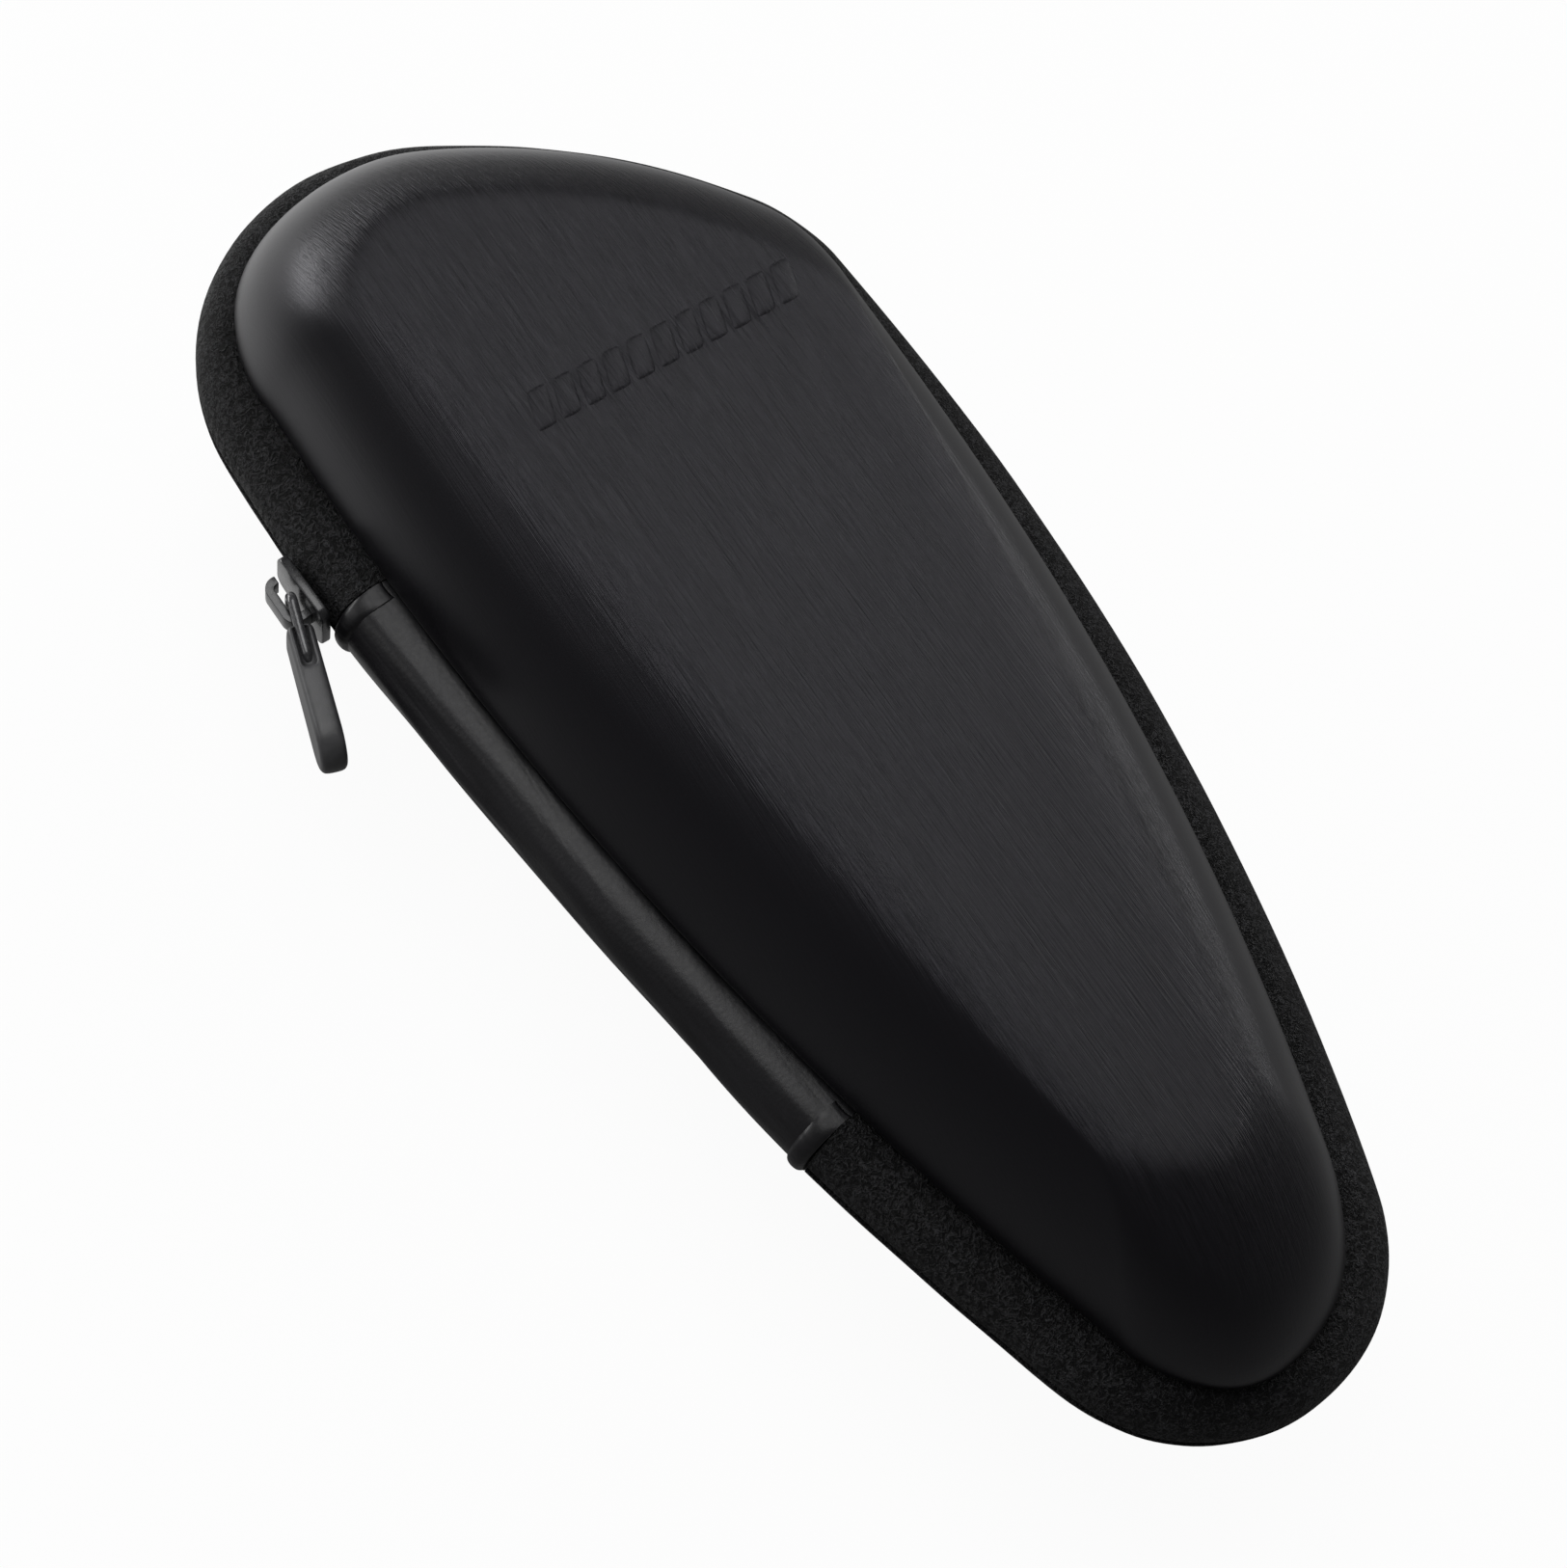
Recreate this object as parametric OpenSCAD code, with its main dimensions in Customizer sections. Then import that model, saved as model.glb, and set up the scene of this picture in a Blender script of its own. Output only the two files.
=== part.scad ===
// Hard case for an electric shaver: two moulded foam shells closed by a
// zip band, with a leatherette hinge spine, a slider and a rubber pull.
// The case lies on its flat underside. +Z is up and +Y points to the wide head.

/* [Case] */
// Overall length of the closing band, head to tip
case_length = 195; // [185:1:210]
// Height of the lid above the middle of the band
lid_height = 28.5; // [24:0.5:34]
// Depth of the base below the middle of the band
base_depth = 31.5; // [26:0.5:38]
// Thickness of the moulded foam shell
shell_wall = 3.2; // [2:0.1:4]
// Thickness of the textile lining
lining_wall = 0.8; // [0.5:0.1:1.2]

/* [Band outline] */
// Reach of the head on the hinge side, from the long axis
head_reach_hinge = 43; // [40:0.5:47]
// Reach of the head on the zip side, from the long axis
head_reach_zip = 38.9; // [36:0.5:43]
// Corner radius of the head on the hinge side
head_radius_hinge = 30.6; // [27:0.2:33]
// Corner radius of the head on the zip side
head_radius_zip = 26.5; // [24:0.5:29]
// How far the zip side corner lies below the hinge side corner
head_skew = 15.1; // [10:0.1:19]
// Radius of the shallow arc across the head
head_arc = 86; // [75:1:110]
// Radius of the narrow tip
tip_radius = 23.9; // [21:0.1:26]
// Radius of the long flank on the hinge side
hinge_flank_arc = 448; // [400:1:600]
// Radius of the long flank on the zip side
zip_flank_arc = 334; // [280:1:420]

/* [Flat top] */
// Distance from the band to the flat top at the head
top_inset_head = 23.6; // [21:0.2:26]
// Distance from the band to the flat top on the hinge side
top_inset_hinge = 16.8; // [15:0.2:19]
// Distance from the band to the flat top on the zip side
top_inset_zip = 14.5; // [13:0.5:16]
// Distance from the band to the flat top at the tip
top_inset_tip = 26.8; // [24:0.2:30]
// Corner radius of the flat top, hinge side of the head
top_radius_hinge = 10.9; // [9:0.1:13]
// Corner radius of the flat top, zip side of the head
top_radius_zip = 14.4; // [12:0.2:17]
// Corner radius of the flat top at the tip
top_radius_tip = 10.1; // [8.5:0.1:12]
// How far the zip side corner of the flat top lies below the hinge side corner
top_skew = 27.4; // [24:0.2:30]
// Sideways place of the tip of the flat top
top_tip_x = -2.6; // [-4:0.1:0]
// Radius of the arc across the head of the flat top
top_head_arc = 61; // [52:1:75]
// Rounding of the crease between the flat top and the side
crease = 2; // [1:0.1:3]
// Angle through which the side wall turns from rim to crease
side_turn = 65; // [50:1:75]
// Share of the side wall that is a straight slope
side_straight = 0.3; // [0.1:0.05:0.5]

/* [Zip band] */
// Half height of the band between the shell rims
band_half = 5.6; // [5:0.1:7]
// How far the band stands out past its own edges
band_bulge = 4.7; // [3.5:0.1:5]
// Groove between the band edge and the shell
groove = 0.9; // [0.5:0.1:1.5]
// Thickness of the woven tape
tape_thick = 1.2; // [0.8:0.1:1.5]
// Gap between the two tapes along the middle
slit = 1; // [0.9:0.1:1.4]
// Height of one row of the coil
coil_high = 1.9; // [1.4:0.1:2.2]
// Depth of the coil behind the tape
coil_deep = 1.5; // [1:0.1:1.8]
// Height of the sewn binding inside the rim
binding_high = 2.4; // [1.8:0.1:3]
// Thickness of the sewn binding
binding_thick = 1.4; // [1:0.1:2]

/* [Hinge spine] */
// Place of the head end of the spine along the case
spine_head_y = 42.2; // [40:0.1:46]
// Place of the tip end of the spine along the case
spine_tip_y = -43; // [-48:0.1:-38]
// Radius of the slight bow of the spine
spine_bow = 900; // [700:10:2000]
// Thickness of the leatherette spine
spine_thick = 1.5; // [1:0.1:2]
// Width of the folded welt at each end of the spine
welt_wide = 3.2; // [2:0.1:5]
// Height of the welt above the spine
welt_high = 0.7; // [0.4:0.1:1.2]
// Thickness of the gusset inside the hinge
gusset_thick = 0.8; // [0.5:0.1:1.5]

/* [Slider and pull] */
// Length of the slider plate along the zip
slider_length = 10.4; // [9:0.1:12]
// Width of the slider plate across the zip
slider_width = 8; // [7:0.1:9]
// Thickness of the slider plates
slider_plate = 1.2; // [0.9:0.1:1.6]
// Thickness of the neck between the two coils
slider_neck = 0.4; // [0.3:0.05:0.4]
// Height of the open hook above the plate
hook_high = 3.2; // [3.1:0.1:4]
// Length of the hook along the zip
hook_length = 6.8; // [6.6:0.1:7.6]
// Width of the hook
hook_wide = 2.6; // [2:0.1:3.2]
// Thickness of the hook
hook_thick = 1.1; // [0.8:0.1:1.1]
// Place of the middle of the hook, towards the tip from the middle of the plate
hook_y = -0.4; // [-1:0.1:0.8]
// Diameter of the wire link
wire_d = 1.3; // [1:0.1:1.4]
// Length of the wire link between its two bars
link_length = 9.2; // [8:0.1:11]
// Clear width inside the wire link
link_clear = 3.6; // [3.4:0.1:4.5]
// Distance from the pivot to the start of the rubber pull
pull_start = 4.1; // [4.1:0.1:5]
// Length of the rubber pull
pull_length = 18.5; // [15:0.5:30]
// Width of the rubber pull
pull_width = 8; // [7.5:0.5:12]
// Thickness of the rubber pull
pull_thick = 2.8; // [2.6:0.1:3.4]
// Angle of the resting pull away from the band
pull_angle = 18; // [12:1:22]

/* [Inside] */
// Place of the mouth of the mesh pocket along the case
pocket_y = 8; // [-10:1:25]
// Thickness of the net
net_thick = 0.6; // [0.4:0.1:1]
// Pitch of the openings of the net
net_pitch = 7; // [6:0.1:9]
// Width of the strands of the net
net_strand = 1.5; // [1:0.1:2.5]
// Width of the solid edge of the net
net_edge = 3; // [2:0.1:5]
// Width of the elastic hem of the pocket
hem_wide = 5; // [3:0.5:8]
// Thickness of the elastic hem
hem_thick = 1.8; // [1.2:0.1:2.5]
// Place of the middle of the retaining strap
strap_y = 12; // [0:1:25]
// Width of the elastic retaining strap
strap_wide = 20; // [15:1:30]
// Thickness of the retaining strap
strap_thick = 1.2; // [0.8:0.1:2]

/* [Hidden] */
// Clearance between pieces that move apart
clear = 0.3;
// Clearance between curved pieces that are sewn together
seat = 0.1;
// Middle of the band above the surface that the case lies on
band_z = base_depth;
// Inset of the outer face of the shell at its rim, from the band
rim_inset = band_bulge + groove;
lining_inset = rim_inset + shell_wall;
inner_inset = lining_inset + lining_wall;
// Points along each arc of an outline, in the order of the arcs below
ARC_STEPS = [13, 9, 8, 8, 9, 12];

// An outline is [hinge side corner, zip side corner, tip, arcs], each corner [x, y, radius]
band_outline = [
    [head_radius_hinge - head_reach_hinge, case_length / 2 - head_radius_hinge, head_radius_hinge],
    [head_reach_zip - head_radius_zip, case_length / 2 - head_radius_hinge - head_skew, head_radius_zip],
    [0, tip_radius - case_length / 2, tip_radius],
    [head_arc, zip_flank_arc, hinge_flank_arc]
];
top_outline = [
    [top_inset_hinge - head_reach_hinge + top_radius_hinge,
     case_length / 2 - top_inset_head - top_radius_hinge, top_radius_hinge],
    [head_reach_zip - top_inset_zip - top_radius_zip,
     case_length / 2 - top_inset_head - top_radius_hinge - top_skew, top_radius_zip],
    [top_tip_x, top_inset_tip + top_radius_tip - case_length / 2, top_radius_tip],
    [top_head_arc, 5 * case_length, 10 * case_length]
];

// Centre of the arc of radius big that is tangent to corner a and then to corner b
function bridge_centre(a, b, big) =
    let (span = [b.x - a.x, b.y - a.y], far = norm(span), along = span / far,
         out = [along.y, -along.x], ra = big - a[2], rb = big - b[2],
         s = (ra * ra - rb * rb + far * far) / (2 * far), h = sqrt(ra * ra - s * s))
    [a.x + along.x * s - out.x * h, a.y + along.y * s - out.y * h];
function heading(from, to) = atan2(to.y - from.y, to.x - from.x);
// Angle b brought into the turn that follows angle a
function after(a, b) = b < a ? b + 360 : b;

// The six arcs of an outline, counterclockwise from the tip: [x, y, radius, start, end]
function arcs(o) =
    let (left = o[0], right = o[1], tip = o[2],
         zc = bridge_centre(tip, right, o[3][1]), hc = bridge_centre(right, left, o[3][0]),
         lc = bridge_centre(left, tip, o[3][2]),
         a = heading(lc, tip), b = heading(zc, tip), c = heading(zc, right), d = heading(hc, right),
         e = heading(hc, left), f = heading(lc, left),
         b1 = after(a, b), c1 = after(b1, c), d1 = after(c1, d), e1 = after(d1, e), f1 = after(e1, f))
    [[tip.x, tip.y, tip[2], a, b1], [zc.x, zc.y, o[3][1], b1, c1],
     [right.x, right.y, right[2], c1, d1], [hc.x, hc.y, o[3][0], d1, e1],
     [left.x, left.y, left[2], e1, f1], [lc.x, lc.y, o[3][2], f1, after(f1, a)]];

// Stations along an arc, each [centre x, centre y, radius, angle], without the last one
function stations(arc, steps) =
    [for (i = [0 : steps - 1]) [arc[0], arc[1], arc[2], arc[3] + (arc[4] - arc[3]) * i / steps]];
function last_station(arc) = [arc[0], arc[1], arc[2], arc[4]];
function ring_stations(o) =
    let (all = arcs(o)) [for (k = [0 : 5]) each stations(all[k], ARC_STEPS[k])];
// Point at a station, moved inwards by inset, at height z
function at(s, inset, z) = [s[0] + (s[2] - inset) * cos(s[3]), s[1] + (s[2] - inset) * sin(s[3]), z];
function mix(a, b, t) = a * (1 - t) + b * t;

band_ring = ring_stations(band_outline);
top_ring = ring_stations(top_outline);
band_arcs = arcs(band_outline);
flank = band_arcs[5];
// Angle on the hinge side flank at a place along the case
function flank_angle(y) = 180 - asin((y - flank[1]) / flank[2]);
spine_head_a = flank_angle(spine_head_y);
spine_tip_a = flank_angle(spine_tip_y);
function flank_arc(a, b) = [flank[0], flank[1], flank[2], a, b];

// Stations of the zip, from the tip end of the spine round to the head corner on the hinge side
flank_clear = clear / flank[2] * 180 / PI;
zip_path = [
    each stations(flank_arc(spine_tip_a + flank_clear - 360, flank[4] - 360), 4),
    each stations(band_arcs[0], ARC_STEPS[0]),
    each stations(band_arcs[1], ARC_STEPS[1]),
    each stations(band_arcs[2], ARC_STEPS[2]),
    each stations(band_arcs[3], ARC_STEPS[3]),
    each stations(band_arcs[4], ARC_STEPS[4]),
    last_station(band_arcs[4])
];
// Stations of the last stretch of the zip, from the head corner to the head end of the spine
zip_end_path = [
    each stations(flank_arc(flank[3], spine_head_a - flank_clear), 4),
    last_station(flank_arc(flank[3], spine_head_a - flank_clear))
];
whole_zip_path = [for (s = zip_path) s, for (i = [1 : len(zip_end_path) - 1]) zip_end_path[i]];

// Side wall of a shell: share of the way in, and share of the height, for u from 0 to 1
function side_in(u) = mix((1 - cos(side_turn * u)) / (1 - cos(side_turn)), u, side_straight);
function side_up(u) = sin(side_turn * u) / sin(side_turn);
// Ring of a shell surface, from rim inset and height to top inset and height
function side_ring(rim, top, z0, z1, u) =
    [for (i = [0 : len(band_ring) - 1])
        mix(at(band_ring[i], rim, z0), at(top_ring[i], top, z0), side_in(u))
        + [0, 0, (z1 - z0) * side_up(u)]];
function flat_ring(top, z) = [for (s = top_ring) at(s, top, z)];
SIDE_STEPS = [0, 0.2, 0.4, 0.6, 0.8];
// Rings of one moulded surface, rim first, then the rounded crease and the flat top
function surface_rings(rim, top, height) = [
    for (u = SIDE_STEPS) side_ring(rim, top, band_half, height, u),
    side_ring(rim, top, band_half, height, 1 - 0.35 * crease / (height - band_half) * 2),
    flat_ring(top + crease, height)
];
function backwards(list) = [for (i = [len(list) - 1 : -1 : 0]) list[i]];

// Two triangles of a four-sided face, cut along one diagonal or the other, so that
// two layers that meet on one surface are cut alike
function halves(a, b, c, d, other) = other ? [[a, b, d], [b, c, d]] : [[a, b, c], [a, c, d]];

// Solid through a list of rings of equal length, closed by its first and last ring
module loft(rings) {
    n = len(rings[0]);
    m = len(rings);
    polyhedron(
        points = [for (r = rings) each r],
        faces = [
            [for (i = [0 : n - 1]) i],
            for (j = [0 : m - 2], i = [0 : n - 1])
                each halves(j * n + i, (j + 1) * n + i, (j + 1) * n + (i + 1) % n,
                            j * n + (i + 1) % n, 2 * j + 1 < m - 1),
            [for (i = [n - 1 : -1 : 0]) (m - 1) * n + i]
        ]);
}

// Profile of [inset, z] points carried along a path of stations
module sweep(path, profile) {
    loft([for (s = path) [for (p = profile) at(s, p[0], p[1])]]);
}

// Profile carried round the whole outline as a closed ring
module ring_sweep(profile) {
    n = len(profile);
    m = len(band_ring);
    polyhedron(
        points = [for (s = band_ring, p = profile) at(s, p[0], p[1])],
        faces = [for (j = [0 : m - 1], i = [0 : n - 1]) let (k = (j + 1) % m) each [
            [j * n + i, k * n + i, k * n + (i + 1) % n],
            [j * n + i, k * n + (i + 1) % n, j * n + (i + 1) % n]
        ]]);
}

// Half of the case, drawn as a lid with the middle of the band at z = 0
module moulded_layer(outer, inner, outer_top, inner_top, outer_z, inner_z) {
    loft(concat(backwards(surface_rings(inner, inner_top, inner_z)),
                surface_rings(outer, outer_top, outer_z)));
}
module shell(height) {
    moulded_layer(rim_inset, lining_inset, 0, shell_wall / 2, height, height - shell_wall);
}
module lining(height) {
    moulded_layer(lining_inset, inner_inset, shell_wall / 2, (shell_wall + lining_wall) / 2,
                  height - shell_wall, height - shell_wall - lining_wall);
}

// Round back of the band: inset of its outer face at height z
band_radius = (band_half * band_half + band_bulge * band_bulge) / (2 * band_bulge);
function bow(radius, z) = band_radius - sqrt(radius * radius - z * z);
TAPE_STEPS = 4;
tape_inner = band_radius - tape_thick;
flange_z = band_half - tape_thick;
coil_top = slit / 2 + coil_high;
coil_back = bow(tape_inner, 0) + seat + coil_deep;
// The tape, from the slit over the bulge to the flange that is sewn under the shell rim
tape_profile = [
    for (i = [0 : TAPE_STEPS])
        let (z = mix(slit / 2, band_half, i / TAPE_STEPS)) [bow(band_radius, z), z],
    [inner_inset, band_half],
    [inner_inset, flange_z],
    for (i = [TAPE_STEPS : -1 : 0])
        let (z = mix(slit / 2, flange_z, i / TAPE_STEPS)) [bow(tape_inner, z), z]
];
// The coil lies on the back of the tape, along the slit
coil_profile = [
    for (z = [slit / 2, coil_top]) [bow(tape_inner, z) + seat, z],
    [coil_back, coil_top - coil_high / 4],
    [coil_back, slit / 2]
];
binding_profile = [
    [inner_inset, band_half - binding_high],
    [inner_inset, band_half],
    [inner_inset + binding_thick, band_half - binding_thick / 3],
    [inner_inset + binding_thick, band_half - binding_high + binding_thick / 3]
];

module zip_tape(path) {
    sweep(path, tape_profile);
}
module zip_coil(path) {
    sweep(path, coil_profile);
}
module binding() {
    ring_sweep(binding_profile);
}

module in_lid() {
    translate([0, 0, band_z]) children();
}
module in_base() {
    translate([0, 0, band_z]) mirror([0, 0, 1]) children();
}

module lower_shell() {
    color([0.16, 0.16, 0.17]) in_base() shell(base_depth);
}
module lower_lining() {
    color([0.3, 0.3, 0.31]) in_base() lining(base_depth);
}
module lower_zip_tape() {
    color([0.1, 0.1, 0.11]) in_base() zip_tape(whole_zip_path);
}
module lower_zip_coil() {
    color([0.2, 0.2, 0.21]) in_base() zip_coil(whole_zip_path);
}
module lower_binding() {
    color([0.08, 0.08, 0.08]) in_base() binding();
}
module upper_shell() {
    color([0.18, 0.18, 0.2]) in_lid() shell(lid_height);
}
module upper_lining() {
    color([0.32, 0.32, 0.33]) in_lid() lining(lid_height);
}
module upper_zip_tape() {
    color([0.12, 0.12, 0.13]) in_lid() zip_tape(zip_path);
}
module upper_zip_coil() {
    color([0.22, 0.22, 0.23]) in_lid() zip_coil(zip_path);
}
module upper_tape_end() {
    color([0.14, 0.14, 0.15]) in_lid() zip_tape(zip_end_path);
}
module upper_coil_end() {
    color([0.24, 0.24, 0.25]) in_lid() zip_coil(zip_end_path);
}
module upper_binding() {
    color([0.08, 0.08, 0.08]) in_lid() binding();
}

// The spine bows gently between its two ends on the band
spine_a = at([flank[0], flank[1], flank[2], spine_head_a], 0, 0);
spine_b = at([flank[0], flank[1], flank[2], spine_tip_a], 0, 0);
spine_chord = norm(spine_b - spine_a);
spine_along = (spine_a - spine_b) / spine_chord;
spine_out = [-spine_along.y, spine_along.x];
spine_mid = (spine_a + spine_b) / 2;
spine_turn = 2 * asin(spine_chord / 2 / spine_bow);
spine_centre = [spine_mid.x, spine_mid.y] - spine_out * spine_bow * cos(spine_turn / 2);
spine_angle = atan2(spine_out.y, spine_out.x);
spine_edge = band_half - clear;
welt_turn = welt_wide / spine_bow * 180 / PI;
SPINE_STEPS = 8;
// Inset to which the edges of the spine reach under the shell rims
spine_flange = rim_inset + shell_wall / 2;
spine_rise = asin(spine_edge / band_radius);
spine_inner = band_radius - spine_thick;
spine_inner_rise = asin((spine_edge - spine_thick) / spine_inner);

// Part of a ring about the centre of the spine's bow, between two angles from its middle
module spine_arc(from, to) {
    translate([spine_centre.x, spine_centre.y, band_z])
        rotate([0, 0, spine_angle + from])
            rotate_extrude(angle = to - from, $fn = 720)
                children();
}
// Points of a round back of the given radius, as [distance from the bow's centre, z]
function spine_face(radius, rise, count) =
    [for (i = [-count : count]) let (a = rise * i / SPINE_STEPS)
        [spine_bow - band_radius + radius * cos(a), radius * sin(a)]];
module hinge_spine() {
    color([0.2, 0.2, 0.21]) spine_arc(-spine_turn / 2, spine_turn / 2)
        polygon(concat(
            spine_face(band_radius, spine_rise, SPINE_STEPS),
            [[spine_bow - spine_flange, spine_edge], [spine_bow - spine_flange, spine_edge - spine_thick]],
            backwards(spine_face(spine_inner, spine_inner_rise, SPINE_STEPS)),
            [[spine_bow - spine_flange, spine_thick - spine_edge], [spine_bow - spine_flange, -spine_edge]]
        ));
}
// A folded ring over the end of the spine
module welt() {
    polygon(concat(
        spine_face(band_radius + welt_high, spine_rise, SPINE_STEPS - 1),
        backwards(spine_face(band_radius, spine_rise, SPINE_STEPS - 1))
    ));
}
module spine_welt_head() {
    color([0.14, 0.14, 0.15]) spine_arc(-spine_turn / 2, welt_turn - spine_turn / 2) welt();
}
module spine_welt_tip() {
    color([0.14, 0.14, 0.15]) spine_arc(spine_turn / 2 - welt_turn, spine_turn / 2) welt();
}
module hinge_gusset() {
    color([0.1, 0.1, 0.1])
        translate([flank[0], flank[1], band_z])
            rotate([0, 0, spine_head_a])
                rotate_extrude(angle = spine_tip_a - spine_head_a, $fn = 720)
                    translate([flank[2] - inner_inset - binding_thick - clear - gusset_thick,
                               clear - band_half])
                        square([gusset_thick, 2 * (band_half - clear)]);
}

// Flat shape of the inside of the rim
module inside_outline(extra) {
    polygon([for (s = band_ring) let (p = at(s, inner_inset + extra, 0)) [p.x, p.y]]);
}
module half_plane_below(y) {
    translate([-case_length, y - 2 * case_length]) square(2 * case_length);
}
module strip(y, wide) {
    translate([-case_length, y - wide / 2]) square([2 * case_length, wide]);
}
// Staggered rows of rhombic openings
module net_openings() {
    rows = floor(case_length / net_pitch);
    half = (net_pitch - net_strand) / 2;
    for (j = [-rows : rows], i = [-8 : 8])
        translate([(i + (j % 2 == 0 ? 0 : 0.5)) * net_pitch, j * net_pitch / 2])
            polygon([[half, 0], [0, half], [-half, 0], [0, -half]]);
}
module mesh_pocket() {
    color([0.15, 0.15, 0.16])
        translate([0, 0, band_z + band_half])
            linear_extrude(net_thick)
                difference() {
                    intersection() {
                        inside_outline(clear);
                        half_plane_below(pocket_y);
                    }
                    intersection() {
                        net_openings();
                        inside_outline(clear + net_edge);
                        half_plane_below(pocket_y - hem_wide / 2 - net_strand);
                    }
                }
}
module pocket_hem() {
    color([0.1, 0.1, 0.11])
        translate([0, 0, band_z + band_half + net_thick])
            linear_extrude(hem_thick)
                intersection() {
                    inside_outline(2 * clear + hem_thick / 3);
                    strip(pocket_y - hem_wide / 2, hem_wide);
                }
}
module retaining_strap() {
    color([0.12, 0.12, 0.13])
        translate([0, 0, band_z - band_half - strap_thick])
            linear_extrude(strap_thick)
                intersection() {
                    inside_outline(clear);
                    strip(strap_y, strap_wide);
                }
}

// Place of the slider: its tip end meets the head end of the spine
slider_turn = (slider_length / 2 + clear) / flank[2] * 180 / PI;
slider_a = spine_head_a - slider_turn;
// Local frame of the slider: +X out of the case, +Y towards the tip, origin on the band
module at_slider() {
    translate([flank[0], flank[1], band_z])
        rotate([0, 0, slider_a])
            translate([flank[2], 0, 0])
                children();
}
slider_gap = clear + 0.05;
plate_top = slider_gap + slider_plate;
back_plate_x = -(coil_back + clear);
module plate_shape(length, wide) {
    round_r = 1.6;
    hull() {
        for (s = [-1, 1]) {
            translate([length / 2 - round_r, s * (wide / 2 - round_r)]) circle(round_r, $fn = 32);
            translate([round_r - length / 2, s * (wide / 2 - 1.5 * round_r)]) circle(round_r, $fn = 32);
        }
    }
}
// A flat shape drawn in the local YZ plane, from one depth to another
module stand(from, to) {
    translate([from, 0, 0])
        rotate([90, 0, 90])
            linear_extrude(to - from)
                children();
}
module slider_body() {
    color([0.25, 0.25, 0.27]) at_slider() {
        stand(slider_gap, plate_top) plate_shape(slider_length, slider_width);
        stand(back_plate_x - slider_plate, back_plate_x)
            plate_shape(slider_length, slider_width - 2);
        stand(back_plate_x - slider_plate / 2, slider_gap + slider_plate / 2)
            square([slider_length / 3, slider_neck], center = true);
    }
}

// The pivot of the pull, in the local frame of the slider: the bar lies in the middle of the hook
pivot_x = plate_top + (hook_high - hook_thick) / 2;
hook_round = hook_length / 4;
// The open end of the hook is narrower than the bar, so that the link can't fall out
hook_gap = wire_d - 0.1;
// Round corners of the hook at its outer side, thinner by inset
module hook_back(inset) {
    for (s = [-1, 1])
        translate([plate_top + hook_high - hook_round, hook_y + s * (hook_length / 2 - hook_round)])
            circle(hook_round - inset, $fn = 48);
}
// Hook in the local XY plane: its foot is at its tip end, and it is open at its head end
module hook_shape() {
    foot = hook_y + hook_length / 2 - 0.15;
    difference() {
        hull() {
            hook_back(0);
            translate([plate_top, foot - hook_thick]) square([0.1, hook_thick]);
            translate([plate_top, hook_y + 1 - hook_length / 2]) square([0.1, 1]);
        }
        hull() {
            hook_back(hook_thick);
            translate([plate_top - 1, foot - hook_thick - 0.1]) square([0.1, 0.1]);
            translate([plate_top - 1, hook_y + hook_thick - hook_length / 2]) square([0.1, 1]);
        }
        translate([plate_top - 1, hook_y - hook_length]) square([hook_gap + 1, hook_length]);
        translate([plate_top - 1, hook_y - hook_length]) square([1, 2 * hook_length]);
    }
}
module slider_bridge() {
    color([0.3, 0.3, 0.32]) at_slider()
        translate([0, 0, -hook_wide / 2])
            linear_extrude(hook_wide)
                hook_shape();
}

// Local frame of the pull: origin on the pivot, +Y along the pull towards its end
module at_pull() {
    at_slider() translate([pivot_x, hook_y, 0]) rotate([0, 0, -pull_angle]) children();
}
link_radius = link_clear / 2 + wire_d / 2;
corner_r = 1.4;
// Closed wire loop in the local YZ plane: two bars along Z, joined by straight legs
module wire_loop() {
    half = link_radius - corner_r;
    far = link_length - corner_r;
    for (s = [-1, 1]) {
        translate([0, corner_r, s * link_radius]) rotate([-90, 0, 0])
            cylinder(d = wire_d, h = link_length - 2 * corner_r, $fn = 32);
        translate([0, corner_r, s * half]) rotate([0, 90, 0]) rotate([0, 0, s > 0 ? 180 : -90])
            rotate_extrude(angle = 90, $fn = 48) translate([corner_r, 0]) circle(d = wire_d, $fn = 32);
        translate([0, far, s * half]) rotate([0, 90, 0]) rotate([0, 0, s > 0 ? 90 : 0])
            rotate_extrude(angle = 90, $fn = 48) translate([corner_r, 0]) circle(d = wire_d, $fn = 32);
    }
    for (y = [0, link_length])
        translate([0, y, -half]) cylinder(d = wire_d, h = 2 * half, $fn = 32);
}
module pull_link() {
    color([0.6, 0.6, 0.62]) at_pull() wire_loop();
}
// Paddle outline in the local YZ plane: narrow at the link, widest near its end
module paddle_shape(grow) {
    narrow = link_radius + wire_d / 2;
    hull() {
        translate([pull_start + 1.2, -narrow + 1.2]) circle(1.2 + grow, $fn = 32);
        translate([pull_start + 1.2, narrow - 1.2]) circle(1.2 + grow, $fn = 32);
        translate([pull_start + pull_length - pull_width / 2, 0]) circle(pull_width / 2 + grow, $fn = 48);
    }
}
module pull_tab() {
    bevel = 0.6;
    color([0.09, 0.09, 0.1]) at_pull()
        difference() {
            union() {
                stand(bevel - pull_thick / 2, pull_thick / 2 - bevel) paddle_shape(0);
                stand(-pull_thick / 2, pull_thick / 2) paddle_shape(-bevel);
            }
            wire_loop();
        }
}

lower_shell();
lower_lining();
lower_zip_tape();
lower_zip_coil();
lower_binding();
hinge_spine();
spine_welt_head();
spine_welt_tip();
hinge_gusset();
retaining_strap();
upper_shell();
upper_lining();
upper_zip_tape();
upper_zip_coil();
upper_binding();
upper_tape_end();
upper_coil_end();
mesh_pocket();
pocket_hem();
slider_body();
slider_bridge();
pull_link();
pull_tab();
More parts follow.
